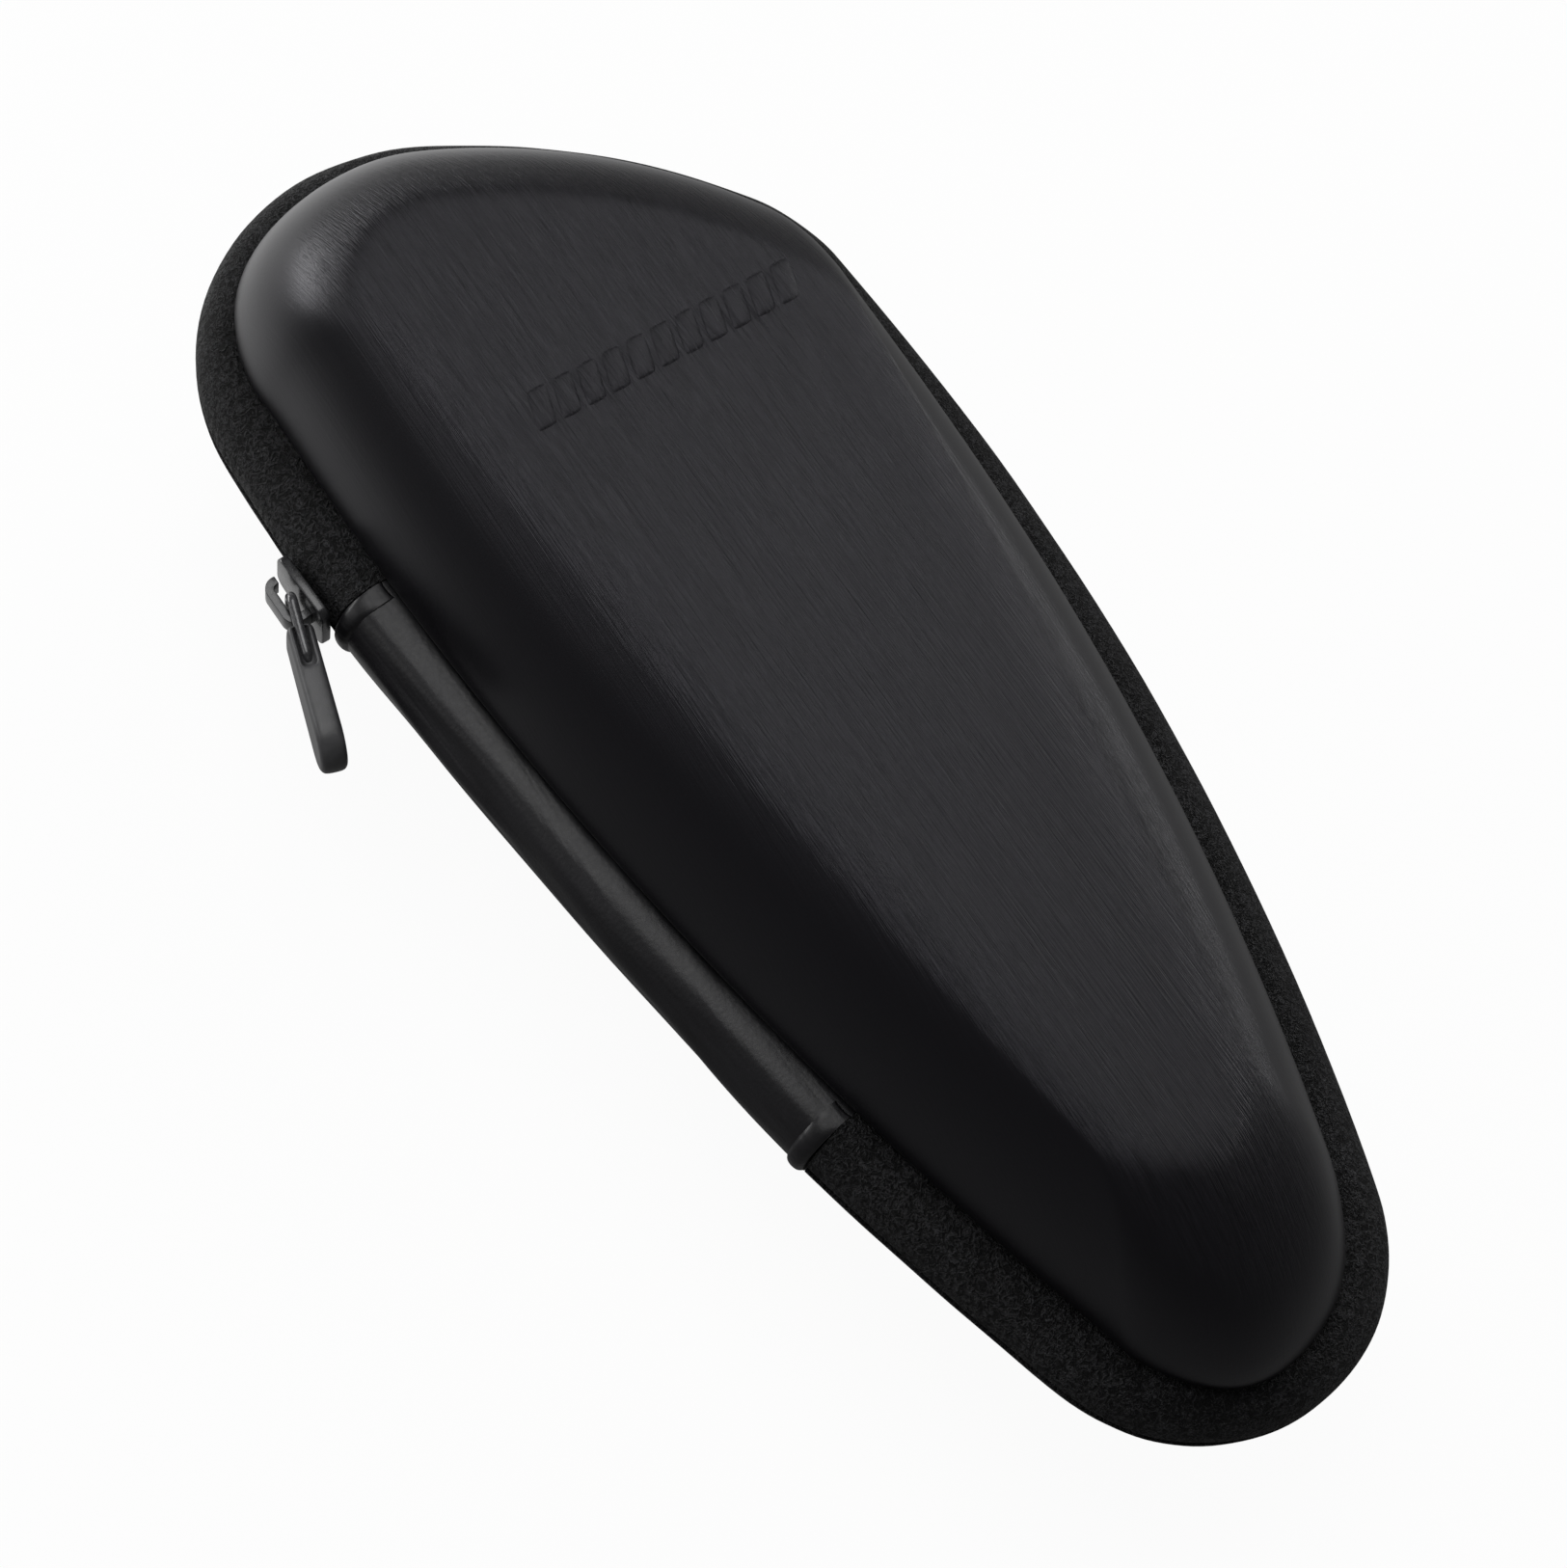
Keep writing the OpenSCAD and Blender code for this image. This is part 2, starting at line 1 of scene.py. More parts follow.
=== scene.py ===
# %% [markdown]
# # A zip-up hard case for an electric shaver
#
# The real case is two moulded foam shells with a thin satin skin. A woven zip
# band runs round the middle, a leatherette strip forms the hinge on one long
# side, and a small black slider with a rubber pull closes the zip.
#
# The solids come from a CAD model that is already packed. Here they get their
# looks: each soft piece is modelled again in its place, and each hard piece
# keeps its CAD shape with softer edges and a finish of its own.

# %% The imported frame
import math

import bmesh
import bpy
from mathutils import Matrix, Vector, noise


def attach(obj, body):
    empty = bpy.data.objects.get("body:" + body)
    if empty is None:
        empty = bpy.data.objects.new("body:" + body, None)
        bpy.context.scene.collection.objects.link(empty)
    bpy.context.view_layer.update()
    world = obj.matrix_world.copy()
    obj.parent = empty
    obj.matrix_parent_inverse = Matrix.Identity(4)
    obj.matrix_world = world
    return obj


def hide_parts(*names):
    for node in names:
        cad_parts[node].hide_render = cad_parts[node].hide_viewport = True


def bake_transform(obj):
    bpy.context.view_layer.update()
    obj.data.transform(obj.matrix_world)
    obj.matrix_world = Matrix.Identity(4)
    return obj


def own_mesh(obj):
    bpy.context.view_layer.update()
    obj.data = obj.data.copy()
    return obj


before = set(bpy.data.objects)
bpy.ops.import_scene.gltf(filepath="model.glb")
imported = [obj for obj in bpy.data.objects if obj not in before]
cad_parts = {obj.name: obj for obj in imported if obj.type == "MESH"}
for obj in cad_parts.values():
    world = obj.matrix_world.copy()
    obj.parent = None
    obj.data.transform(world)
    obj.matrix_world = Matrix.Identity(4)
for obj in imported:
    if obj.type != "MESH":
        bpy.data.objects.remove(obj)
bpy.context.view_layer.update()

# %% [markdown]
# ## The camera
#
# The photograph was taken from high above the hinge side, with the camera
# turned a little on its own axis. A lens of 80 mm on a sensor of 36 mm gives
# the same narrow view. A camera looks along its own -Z, so its three axes are
# written as the columns of a matrix.

# %% Camera at the photograph's place
camera = bpy.data.objects.new("camera", bpy.data.cameras.new("camera"))
bpy.context.scene.collection.objects.link(camera)
camera_right = Vector((0.8198955, -0.5574308, 0.1305461))
camera_up = Vector((0.4730598, 0.7880550, 0.3939338))
camera_back = camera_right.cross(camera_up)
camera_place = Vector((-0.1423543, -0.1112328, 0.4107374))
camera.matrix_world = Matrix.Translation(camera_place) @ Matrix(
    (camera_right, camera_up, camera_back)).transposed().to_4x4()
camera.data.lens = 80.0
camera.data.sensor_width = 36.0
camera.data.clip_start = 0.01
bpy.context.scene.camera = camera
bpy.context.scene.view_settings.view_transform = "Standard"
print("camera back axis:", [round(x, 4) for x in camera_back])

# %% [markdown]
# ## Writing materials as sums
#
# A Blender material is a graph of nodes. Long graphs are hard to read, so this
# class wraps one output socket. Adding or multiplying two of them writes the
# Math node, and an expression such as `1 - mask` reads as what it means.

# %% A socket that can be added and multiplied
class Value:
    """One number that varies over a surface."""

    def __init__(self, finish, socket):
        self.finish, self.socket = finish, socket

    def math(self, operation, other=None, swap=False):
        terms = [self] if other is None else [self, other]
        if swap:
            terms.reverse()
        return self.finish.add("Math", {"operation": operation}, dict(enumerate(terms)))

    def __add__(self, other): return self.math("ADD", other)
    def __radd__(self, other): return self.math("ADD", other)
    def __sub__(self, other): return self.math("SUBTRACT", other)
    def __rsub__(self, other): return self.math("SUBTRACT", other, swap=True)
    def __mul__(self, other): return self.math("MULTIPLY", other)
    def __rmul__(self, other): return self.math("MULTIPLY", other)
    def size(self): return self.math("ABSOLUTE")
    def most(self, other): return self.math("MAXIMUM", other)

    def ramp(self, low, high):
        """0 below low, 1 above high, and a soft step between them."""
        return self.finish.add("MapRange", {"interpolation_type": "SMOOTHSTEP"},
                               {"Value": self, "From Min": low, "From Max": high})

# %% A finish: one material and its shader
class Finish:
    """One material. add() makes any node, and sockets are named or numbered."""

    def __init__(self, name, color, roughness, **constants):
        self.material = bpy.data.materials.new(name)
        self.material.use_nodes = True
        self.tree = self.material.node_tree
        self.tree.nodes.clear()
        self.shader = self.tree.nodes.new("ShaderNodeBsdfPrincipled")
        output = self.tree.nodes.new("ShaderNodeOutputMaterial")
        self.tree.links.new(self.shader.outputs[0], output.inputs["Surface"])
        self.feed(self.shader, {"Base Color": (*color, 1), "Roughness": roughness, **constants})
        self.material.diffuse_color = (*color, 1)

    def feed(self, node, sockets):
        for key, value in sockets.items():
            if isinstance(value, Value):
                self.tree.links.new(value.socket, node.inputs[key])
            else:
                node.inputs[key].default_value = value

    def add(self, kind, settings=None, sockets=None, output=0):
        node = self.tree.nodes.new("ShaderNode" + kind)
        for key, value in (settings or {}).items():
            setattr(node, key, value)
        self.feed(node, sockets or {})
        return Value(self, node.outputs[output])

    def place(self, scale=(1, 1, 1), turn=(0, 0, 0), source="Object"):
        """Coordinates in millimetres of the piece, or of its own pattern map, then scaled."""
        if source == "Object":
            start = self.add("TexCoord", output="Object")
            scale = [1000 * s for s in scale]
        else:
            start = self.add("UVMap", {"uv_map": source})
        return self.add("Mapping", None, {"Vector": start, "Scale": scale, "Rotation": turn})

    def grain(self, place, scale, detail=2.0, roughness=0.5, distortion=0.0):
        return self.add("TexNoise", None, {"Vector": place, "Scale": scale, "Detail": detail,
                                           "Roughness": roughness, "Distortion": distortion})

    def part(self, vector, axis):
        return self.add("SeparateXYZ", None, {"Vector": vector}, output=axis)

    def tint(self, factor, dark, light):
        return self.add("Mix", {"data_type": "RGBA"},
                        {0: factor, 6: (*dark, 1), 7: (*light, 1)}, output=2)

    def raised(self, height, distance, strength=1.0, under=None):
        """A Bump node. distance is the height in metres of one unit."""
        sockets = {"Height": height, "Distance": distance, "Strength": strength}
        if under:
            sockets["Normal"] = under
        return self.add("Bump", None, sockets)

    def set(self, **sockets):
        self.feed(self.shader, {key.replace("_", " "): value for key, value in sockets.items()})
        return self

# %% [markdown]
# ## The studio
#
# The photograph shows the case cut out on plain white. The floor is white to
# the camera whatever light falls on it, apart from the object's shadow. The
# side walls of the case are nearly black, so the floor they reflect is dim to a
# glossy ray, except for a white patch beyond the head, which is what the bright
# edge of that shoulder reflects. Soft lamps then only have to light the case:
# two from above for the flat top, low ones at the zip side and beyond the head,
# and a weak one on the hinge side.

# %% Floor and world
DIM = 0.12   # how bright a glossy ray sees the floor away from the white patch

def studio_floor():
    bm = bmesh.new()
    bmesh.ops.create_grid(bm, x_segments=1, y_segments=1, size=3.0)
    mesh = bpy.data.meshes.new("floor")
    bm.to_mesh(mesh)
    bm.free()
    floor = bpy.data.objects.new("floor", mesh)
    bpy.context.scene.collection.objects.link(floor)
    paper = Finish("floor_paper", (0.95, 0.95, 0.95), 0.9)
    camera_ray, glossy_ray, through_ray = (paper.add("LightPath", output=f"Is {kind} Ray")
                                           for kind in ("Camera", "Glossy", "Transmission"))
    direct = camera_ray.most(through_ray)
    paper.set(Base_Color=paper.tint(direct, (DIM, DIM, DIM), (0.95, 0.95, 0.95)))
    glow = paper.add("Emission", None, {"Color": (1, 1, 1, 1), "Strength": 1.0})
    card = paper.add("VectorMath", {"operation": "DISTANCE"},
                     {0: paper.place(), 1: (-45, 175, 0)}, output=1)
    bright = DIM + (1 - card.ramp(60, 170)) * (1 - DIM)
    white = (direct * 0.95).most(glossy_ray * bright)
    mixed = paper.add("MixShader", None, {"Fac": white})
    paper.tree.links.new(paper.shader.outputs[0], mixed.socket.node.inputs[1])
    paper.tree.links.new(glow.socket, mixed.socket.node.inputs[2])
    output = next(n for n in paper.tree.nodes if n.type == "OUTPUT_MATERIAL")
    paper.tree.links.new(mixed.socket, output.inputs["Surface"])
    mesh.materials.append(paper.material)
    return floor

floor = studio_floor()
world = bpy.data.worlds.new("studio")
bpy.context.scene.world = world
world.use_nodes = True
print("floor at z =", floor.location.z)

# %% World and lamps
def studio_world():
    tree = world.node_tree
    tree.nodes.clear()
    out = tree.nodes.new("ShaderNodeOutputWorld")
    seen, unseen = (tree.nodes.new("ShaderNodeBackground") for _ in range(2))
    seen.inputs["Color"].default_value = (1, 1, 1, 1)
    unseen.inputs["Color"].default_value = (1, 1, 1, 1)
    unseen.inputs["Strength"].default_value = 0.15
    rays = tree.nodes.new("ShaderNodeLightPath")
    mix = tree.nodes.new("ShaderNodeMixShader")
    tree.links.new(rays.outputs["Is Camera Ray"], mix.inputs["Fac"])
    tree.links.new(unseen.outputs[0], mix.inputs[1])
    tree.links.new(seen.outputs[0], mix.inputs[2])
    tree.links.new(mix.outputs[0], out.inputs["Surface"])

def soft_lamp(name, place, target, size, watts):
    data = bpy.data.lights.new(name, "AREA")
    data.shape = "RECTANGLE"
    data.size, data.size_y = size
    data.energy = watts
    lamp = bpy.data.objects.new(name, data)
    lamp.location = place
    lamp.rotation_euler = (Vector(target) - Vector(place)).to_track_quat("-Z", "Y").to_euler()
    bpy.context.scene.collection.objects.link(lamp)
    return lamp

studio_world()
lamps = [soft_lamp("top_lamp", (0.0, 0.36, 1.05), (0, 0, 0.05), (0.7, 0.7), 5.4),
         soft_lamp("right_lamp", (0.8, 0.5, 0.7), (0, 0.03, 0.05), (0.7, 0.6), 2.8),
         soft_lamp("zip_lamp", (0.95, 0.06, 0.07), (0, 0, 0.05), (0.6, 0.12), 1.7),
         soft_lamp("head_lamp", (-0.4, 0.85, 0.08), (-0.02, 0.07, 0.045), (0.6, 0.14), 3.4),
         soft_lamp("hinge_lamp", (-0.75, 0.45, 0.5), (0, 0.05, 0.04), (0.4, 0.4), 1.0)]
print("lamps:", [lamp.name for lamp in lamps])

# %% [markdown]
# ## The outline of the case
#
# Seen from above, the band and the flat top are both made of six arcs that
# touch without a corner: three tight ones at the two shoulders and the tip, and
# three long ones between them. From the three corners, each given by its centre
# and radius, the long arcs can be worked out, because an arc of radius R that
# touches a corner of radius r has its centre at R - r from the corner's centre.

# %% Six arcs that touch
ARC_STEPS = (26, 18, 16, 16, 18, 24)

def long_arc(a, b, big):
    """Centre of the arc of radius big that touches corner a and then corner b."""
    span = Vector(b[:2]) - Vector(a[:2])
    along = span.normalized()
    out = Vector((along.y, -along.x))
    near, far = big - a[2], big - b[2]
    s = (near ** 2 - far ** 2 + span.length ** 2) / (2 * span.length)
    return Vector(a[:2]) + along * s - out * math.sqrt(near ** 2 - s ** 2)

def six_arcs(left, right, tip, head_r, zip_r, hinge_r):
    """[centre x, centre y, radius, first angle, last angle], counterclockwise from the tip."""
    zip_side, head = long_arc(tip, right, zip_r), long_arc(right, left, head_r)
    hinge_side = long_arc(left, tip, hinge_r)
    pairs = [(hinge_side, tip), (zip_side, tip), (zip_side, right), (head, right),
             (head, left), (hinge_side, left), (hinge_side, tip)]
    turns = []
    for centre, corner in pairs:
        turn = math.atan2(corner[1] - centre[1], corner[0] - centre[0])
        while turns and turn < turns[-1]:
            turn += 2 * math.pi
        turns.append(turn)
    owners = [tip, (*zip_side, zip_r), right, (*head, head_r), left, (*hinge_side, hinge_r)]
    return [(*owner[:3], turns[k], turns[k + 1]) for k, owner in enumerate(owners)]

band_arcs = six_arcs((-12.4, 66.9, 30.6), (12.4, 51.8, 26.5), (0, -73.6, 23.9), 86, 334, 448)
top_arcs = six_arcs((-15.3, 63.0, 10.9), (10.0, 35.6, 14.4), (-2.6, -60.6, 10.1), 61, 975, 1950)

def stations(arcs, steps=ARC_STEPS, closed=True):
    """Places along the arcs, each [centre x, centre y, radius, angle]."""
    found = [(x, y, r, a + (b - a) * i / n) for (x, y, r, a, b), n in zip(arcs, steps)
             for i in range(n)]
    if not closed:
        x, y, r, a, b = arcs[-1]
        found.append((x, y, r, b))
    return found

def at(station, inset, z):
    """The point at a station, moved inwards by inset, at height z above the band's middle."""
    x, y, r, a = station
    return Vector((x + (r - inset) * math.cos(a), y + (r - inset) * math.sin(a), z))

band_ring, top_ring = stations(band_arcs), stations(top_arcs)
print("places round the case:", len(band_ring))

# %% [markdown]
# ## Growing a surface from a line
#
# Nearly every piece of this case follows the outline, so one helper makes them
# all. It starts from a single vertex, spins it along each arc to draw the first
# line, and then extrudes that line again and again. After each extrude the new
# vertices are moved to where the next line of the surface runs. The same helper
# writes a pattern map in millimetres, so that a weave can follow the band.

# %% Spin a line, extrude it, close it
BAND_Z = 31.5

def spun_line(bm, arcs, steps, closed, inset, z):
    """Draws the first line by spinning one vertex along each arc."""
    x, y, r, a, _ = arcs[0]
    line = [bm.verts.new(at((x, y, r, a), inset, z))]
    for (x, y, r, a, b), n in zip(arcs, steps):
        bmesh.ops.spin(bm, geom=[line[-1]], cent=(x, y, z), axis=(0, 0, 1), angle=b - a,
                       steps=n, use_merge=False, use_duplicate=False)
        bm.verts.ensure_lookup_table()
        line += bm.verts[-n:]
    if closed:
        bmesh.ops.weld_verts(bm, targetmap={line.pop(): line[0]})
    return line

def line_edges(line):
    inside = set(line)
    return list({e for v in line for e in v.link_edges if e.other_vert(v) in inside})

def next_line(bm, line, places):
    """Extrudes a line and moves each new vertex to its place."""
    made = bmesh.ops.extrude_edge_only(bm, edges=line_edges(line))
    new = {v for v in made["geom"] if isinstance(v, bmesh.types.BMVert)}
    found = [next(e.other_vert(v) for e in v.link_edges if e.other_vert(v) in new) for v in line]
    for v, place in zip(found, places):
        v.co = place
    return found

def pattern_map(bm, lines, name="pattern"):
    """Writes along and across the surface, in millimetres, as a UV map."""
    layer = bm.loops.layers.uv.new(name)
    middle = lines[len(lines) // 2]
    along = [0.0]
    for a, b in zip(middle, middle[1:] + middle[:1]):
        along.append(along[-1] + (b.co - a.co).length)
    across = [0.0]
    for a, b in zip(lines, lines[1:] + lines[:1]):
        across.append(across[-1] + (b[0].co - a[0].co).length)
    count, rows = len(middle), len(lines)
    where = {v: (k, j) for j, line in enumerate(lines) for k, v in enumerate(line)}
    for face in bm.faces:
        spots = [where.get(loop.vert) for loop in face.loops]
        if None in spots or len(spots) > 4:
            continue
        last_k = max(k for k, _ in spots) == count - 1 and min(k for k, _ in spots) == 0
        last_j = max(j for _, j in spots) == rows - 1 and min(j for _, j in spots) == 0
        for loop, (k, j) in zip(face.loops, spots):
            k = count if last_k and k == 0 else k
            j = rows if last_j and j == 0 else j
            loop[layer].uv = (along[k], across[j])

def cap(bm, line, flat=False):
    """Closes a line. A flat cap keeps its own shading, or its long faces would show streaks."""
    bmesh.ops.contextual_create(bm, geom=line_edges(line))
    for edge in line_edges(line) if flat else []:
        edge.smooth = False

# %% Turn a bmesh into a piece
def make_piece(bm, name, finish, body=None, replaces=None, smooth=1, up=BAND_Z):
    """Millimetres become metres here, and heights are measured from the resting face."""
    bmesh.ops.recalc_face_normals(bm, faces=bm.faces)
    bmesh.ops.translate(bm, verts=bm.verts, vec=(0, 0, up))
    bmesh.ops.scale(bm, verts=bm.verts, vec=(0.001, 0.001, 0.001))
    mesh = bpy.data.meshes.new(name)
    for face in bm.faces:
        face.smooth = True
    bm.to_mesh(mesh)
    bm.free()
    mesh.materials.append(finish.material)
    piece = bpy.data.objects.new(name, mesh)
    bpy.context.scene.collection.objects.link(piece)
    if smooth:
        rounding = piece.modifiers.new("rounding", "SUBSURF")
        rounding.levels = rounding.render_levels = smooth
    if body:
        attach(piece, body)
    if replaces:
        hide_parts(replaces)
    print(name, len(mesh.polygons), "faces")
    return piece

# %% [markdown]
# ## The moulded shells
#
# Each half is foam board with a thin skin, pressed hot into a mould. Its rim is
# rounded and steep, the side wall leans in further and further, and a soft
# crease leads to the flat top. The wall here is a mix of two outlines: at the
# rim it follows the band, and at the crease it follows the outline of the top.
#
# The skin is a satin film with very fine lines along the case, as if brushed.
# They are a noise stretched along one axis, and they fade on the steep walls.
# Its colour is painted lighter on the flat top and darker on the steep walls:
# painted shade.
# Near the head a row of plain slanted bars stands up from the flat top.

# %% The finish of the skin
def shell_skin():
    skin = Finish("brushed_satin_skin", (0.006, 0.0057, 0.007), 0.38,
                  **{"Specular IOR Level": 0.28, "Specular Tint": (0.93, 0.92, 1.0, 1)})
    lines = skin.grain(skin.place((3.4, 0.03, 0.4)), 1.0, 3.0, 0.62)
    fine = skin.grain(skin.place((9.0, 0.07, 0.8)), 1.0, 2.0, 0.5)
    cloud = skin.grain(skin.place((0.03, 0.012, 0.03)), 1.0, 2.0, 0.5)
    # How much the surface faces up. Besides fading the lines and setting the roughness, it paints
    # the flat top lighter and the steep walls darker: painted shade.
    up_facing_and_painted_shade = skin.part(skin.add("TexCoord", output="Normal"), 2).size().ramp(0.6, 0.95)
    brushed = (lines * 0.6 + fine * 0.4 - 0.5) * (up_facing_and_painted_shade * 0.95 + 0.05)
    pores = skin.grain(skin.place((3, 3, 3)), 1.0, 3.0, 0.6)
    bump = skin.raised(brushed * 1.5 + pores * 0.04, 0.00025, 1.0)
    # Painted shade: the colour is lighter where the surface faces up and darker on the steep walls.
    color = skin.tint((brushed * 3.6 + cloud * 0.5 + up_facing_and_painted_shade * 0.3).ramp(-0.5, 1.3),
                      (0.0008, 0.0007, 0.0011), (0.0095, 0.0088, 0.0112))
    skin.set(Base_Color=color, Normal=bump,
             Roughness=0.33 + up_facing_and_painted_shade * 0.07 + brushed * 0.4 + (cloud - 0.5) * 0.06)
    return skin

skin_finish = shell_skin()

# %% One half of the case
RIM, WALL, LINING = 5.6, 3.2, 0.8
BAND_HALF = 5.6
SIDE_TURN = math.radians(65)
UNDERCUT = 1.5   # how far the shell turns in under its rim, which makes the dark groove

RIM_CHANGES = ((135, 26, -1.4), (187, 13, 1.1), (250, 26, -1.5), (332, 28, 1.4), (12, 16, 0.7))

def rim_change(angle):
    """The moulded rim is not quite even: [direction, width in degrees, millimetres inwards]."""
    total = 0
    for way, width, amount in RIM_CHANGES:
        off = (math.degrees(angle) - way + 180) % 360 - 180
        total += amount * math.exp(-(off / width) ** 2)
    return total

def wall_line(rim, top, z0, z1, u, outer=False):
    """One line of the side wall. u goes from 0 at the rim to 1 at the crease."""
    share = (1 - math.cos(SIDE_TURN * u)) / (1 - math.cos(SIDE_TURN)) * 0.7 + u * 0.3
    rise = math.sin(SIDE_TURN * u) / math.sin(SIDE_TURN)
    return [at(b, rim + rim_change(b[3]) * outer, z0 + (z1 - z0) * rise).lerp(
        at(t, top, z0 + (z1 - z0) * rise), share) for b, t in zip(band_ring, top_ring)]

def flat_line(top, z):
    return [at(t, top, z) for t in top_ring]

def half_case(name, flip, body, finish, outer, inner, node):
    """A closed wall between an outer and an inner surface, each [rim inset, top inset, top z]."""
    rim_o, top_o, z_o = outer
    rim_i, top_i, z_i = inner
    crisp = node.endswith("shell")   # the lining has an even rim and no groove
    lines = [flat_line(top_i + 5, z_i), flat_line(top_i + 2.2, z_i - 0.1)]
    lines += [wall_line(rim_i, top_i, BAND_HALF, z_i, u) for u in (0.93, 0.8, 0.6, 0.4, 0.2, 0.04)]
    lines += [wall_line(rim_i - 0.35, top_i, BAND_HALF, z_i, 0.0)]
    lines += [wall_line(rim_o + UNDERCUT, top_o, BAND_HALF, z_o, 0.0, True)] if crisp else []
    lines += [wall_line(rim_o + more, top_o, BAND_HALF, z_o, u, crisp)
              for more, u in ((0.35, 0.025), (0.0, 0.06))]
    lines += [wall_line(rim_o, top_o, BAND_HALF, z_o, u, crisp)
              for u in (0.12, 0.2, 0.35, 0.5, 0.65, 0.8, 0.92, 0.98)]
    lines += [flat_line(top_o + more, z_o - drop)
              for more, drop in ((1.0, 0.1), (2.6, 0.02), (5, 0), (6, 0))]
    bm = bmesh.new()
    made = [spun_line(bm, top_arcs, ARC_STEPS, True, top_i + 5, z_i)]
    for places in lines[1:]:
        made.append(next_line(bm, made[-1], places))
    cap(bm, made[0], flat=True)
    cap(bm, made[-1], flat=True)
    if flip:
        bmesh.ops.scale(bm, verts=bm.verts, vec=(1, 1, -1))
    return make_piece(bm, name, finish, body, node)

def both_halves(name, finish, outer, inner, node):
    """The lid is 28.5 mm high above the band's middle, and the base 31.5 mm deep."""
    for half, part, high in (("lid", "upper", 28.5), ("base", "lower", 31.5)):
        half_case(f"{half}_{name}", half == "base", half, finish,
                  (*outer[:2], high + outer[2]), (*inner[:2], high + inner[2]),
                  f"{part}_{node}")

BARS_HIGH = 0.25
both_halves("shell", skin_finish, (RIM, 0, -BARS_HIGH), (RIM + WALL, WALL / 2, -WALL),
            "shell")

# %% The bars on the lid
def embossed_bars(count=11, pitch=3.4, size=(3.0, 5.6, 1.2)):
    """A cube is the cheapest start for a soft bar: subdividing it rounds it all over."""
    bm = bmesh.new()
    for k in range(count):
        made = bmesh.ops.create_cube(bm, size=1)["verts"]
        bmesh.ops.scale(bm, verts=made, vec=size)
        for v in made:
            v.co.x += v.co.y * 0.3 + (k - (count - 1) / 2) * pitch + 1.5
        bmesh.ops.translate(bm, verts=made, vec=(0, 43, 28.5 - size[2] / 2))
    bmesh.ops.bevel(bm, geom=list(bm.edges), offset=0.35, offset_type="OFFSET", segments=1,
                    profile=0.5, affect="EDGES", material=-1)
    return make_piece(bm, "embossed_bars", skin_finish, "lid", smooth=2)

embossed_bars()

# %% [markdown]
# ## The lining
#
# Inside, the foam is covered with a short-piled knit that was pressed with it.
# It follows the inner wall everywhere. The pile is far too fine to model, so it
# is a dense grain in the colour and the bump, with a sheen for its soft edge.

# %% Lining
def pile_finish():
    pile = Finish("short_pile_lining", (0.03, 0.03, 0.033), 0.9,
                  **{"Sheen Weight": 0.35, "Sheen Roughness": 0.5, "Specular IOR Level": 0.2})
    hairs = pile.grain(pile.place((2.6, 2.6, 2.6)), 1.0, 4.0, 0.7)
    worn = pile.grain(pile.place((0.05, 0.05, 0.05)), 1.0, 3.0, 0.6)
    shade = (hairs * 0.7 + worn * 0.5).ramp(0.35, 0.85)
    pile.set(Base_Color=pile.tint(shade, (0.018, 0.018, 0.02), (0.055, 0.055, 0.06)),
             Roughness=0.82 + hairs * 0.15, Normal=pile.raised(hairs, 0.00018, 0.8))
    return pile

lining_finish = pile_finish()
both_halves("lining", lining_finish, (RIM + WALL, WALL / 2, -WALL),
            (RIM + WALL + LINING, (WALL + LINING) / 2, -WALL - LINING), "lining")

# %% [markdown]
# ## The woven band
#
# Two tapes meet at a slit in the middle of the band. Each one is a soft strip
# that bulges outwards and is sewn under the rim of its shell. Its yarn is a
# curly crepe: short dull loops of about half a millimetre. Thin curls are what
# is left of a noise where it crosses its middle value, so `1 - |2n - 1|` draws
# them, and two of these at different sizes make the surface. The crests of the
# curls are also painted lighter in the colour, as a painted highlight.
#
# The pattern map runs along the band, so the ribs that the zip teeth press into
# the tape follow it round every corner.

# %% The finish of the tape
TEETH_PITCH = 1.4

def crepe_finish(name, dark, light, ribs=True):
    crepe = Finish(name, dark, 0.8, **{"Specular IOR Level": 0.2})
    place = crepe.place((1.0, 1.0, 1.0))
    curls = 1 - (crepe.grain(place, 1.15, 1.0, 0.5, 0.9) * 2 - 1).size() * 3.2
    fine = 1 - (crepe.grain(place, 2.6, 1.0, 0.5, 1.2) * 2 - 1).size() * 2.6
    hairs = crepe.grain(place, 7.0, 2.0, 0.6)
    # The same curls lighten the colour below: a painted highlight on their crests.
    yarn_and_painted_highlight = (curls.most(0) * 0.55 + fine.most(0) * 0.45) * (hairs * 0.5 + 0.75)
    height = yarn_and_painted_highlight
    if ribs:
        weave = crepe.place(source="pattern")
        along, across = crepe.part(weave, 0), crepe.part(weave, 1)
        near = 1 - (across - 1.3).size().ramp(0.7, 1.6)
        rib = crepe.add("Math", {"operation": "SINE"},
                        {0: along * (2 * math.pi / TEETH_PITCH) + across * 1.6})
        height = yarn_and_painted_highlight + rib * near * 0.35
    patches = crepe.grain(crepe.place((0.06, 0.06, 0.06)), 1.0, 3.0, 0.6)
    # Painted highlight: the colour is lighter on the crests of the curls.
    crepe.set(Base_Color=crepe.tint((yarn_and_painted_highlight * 0.9 + patches * 0.3).ramp(0.5, 1.15), dark, light),
              Roughness=0.74 - yarn_and_painted_highlight * 0.26, Normal=crepe.raised(height, 0.00045, 1.0))
    return crepe

tape_finish = crepe_finish("crepe_tape", (0.0008, 0.0008, 0.001), (0.042, 0.042, 0.045))

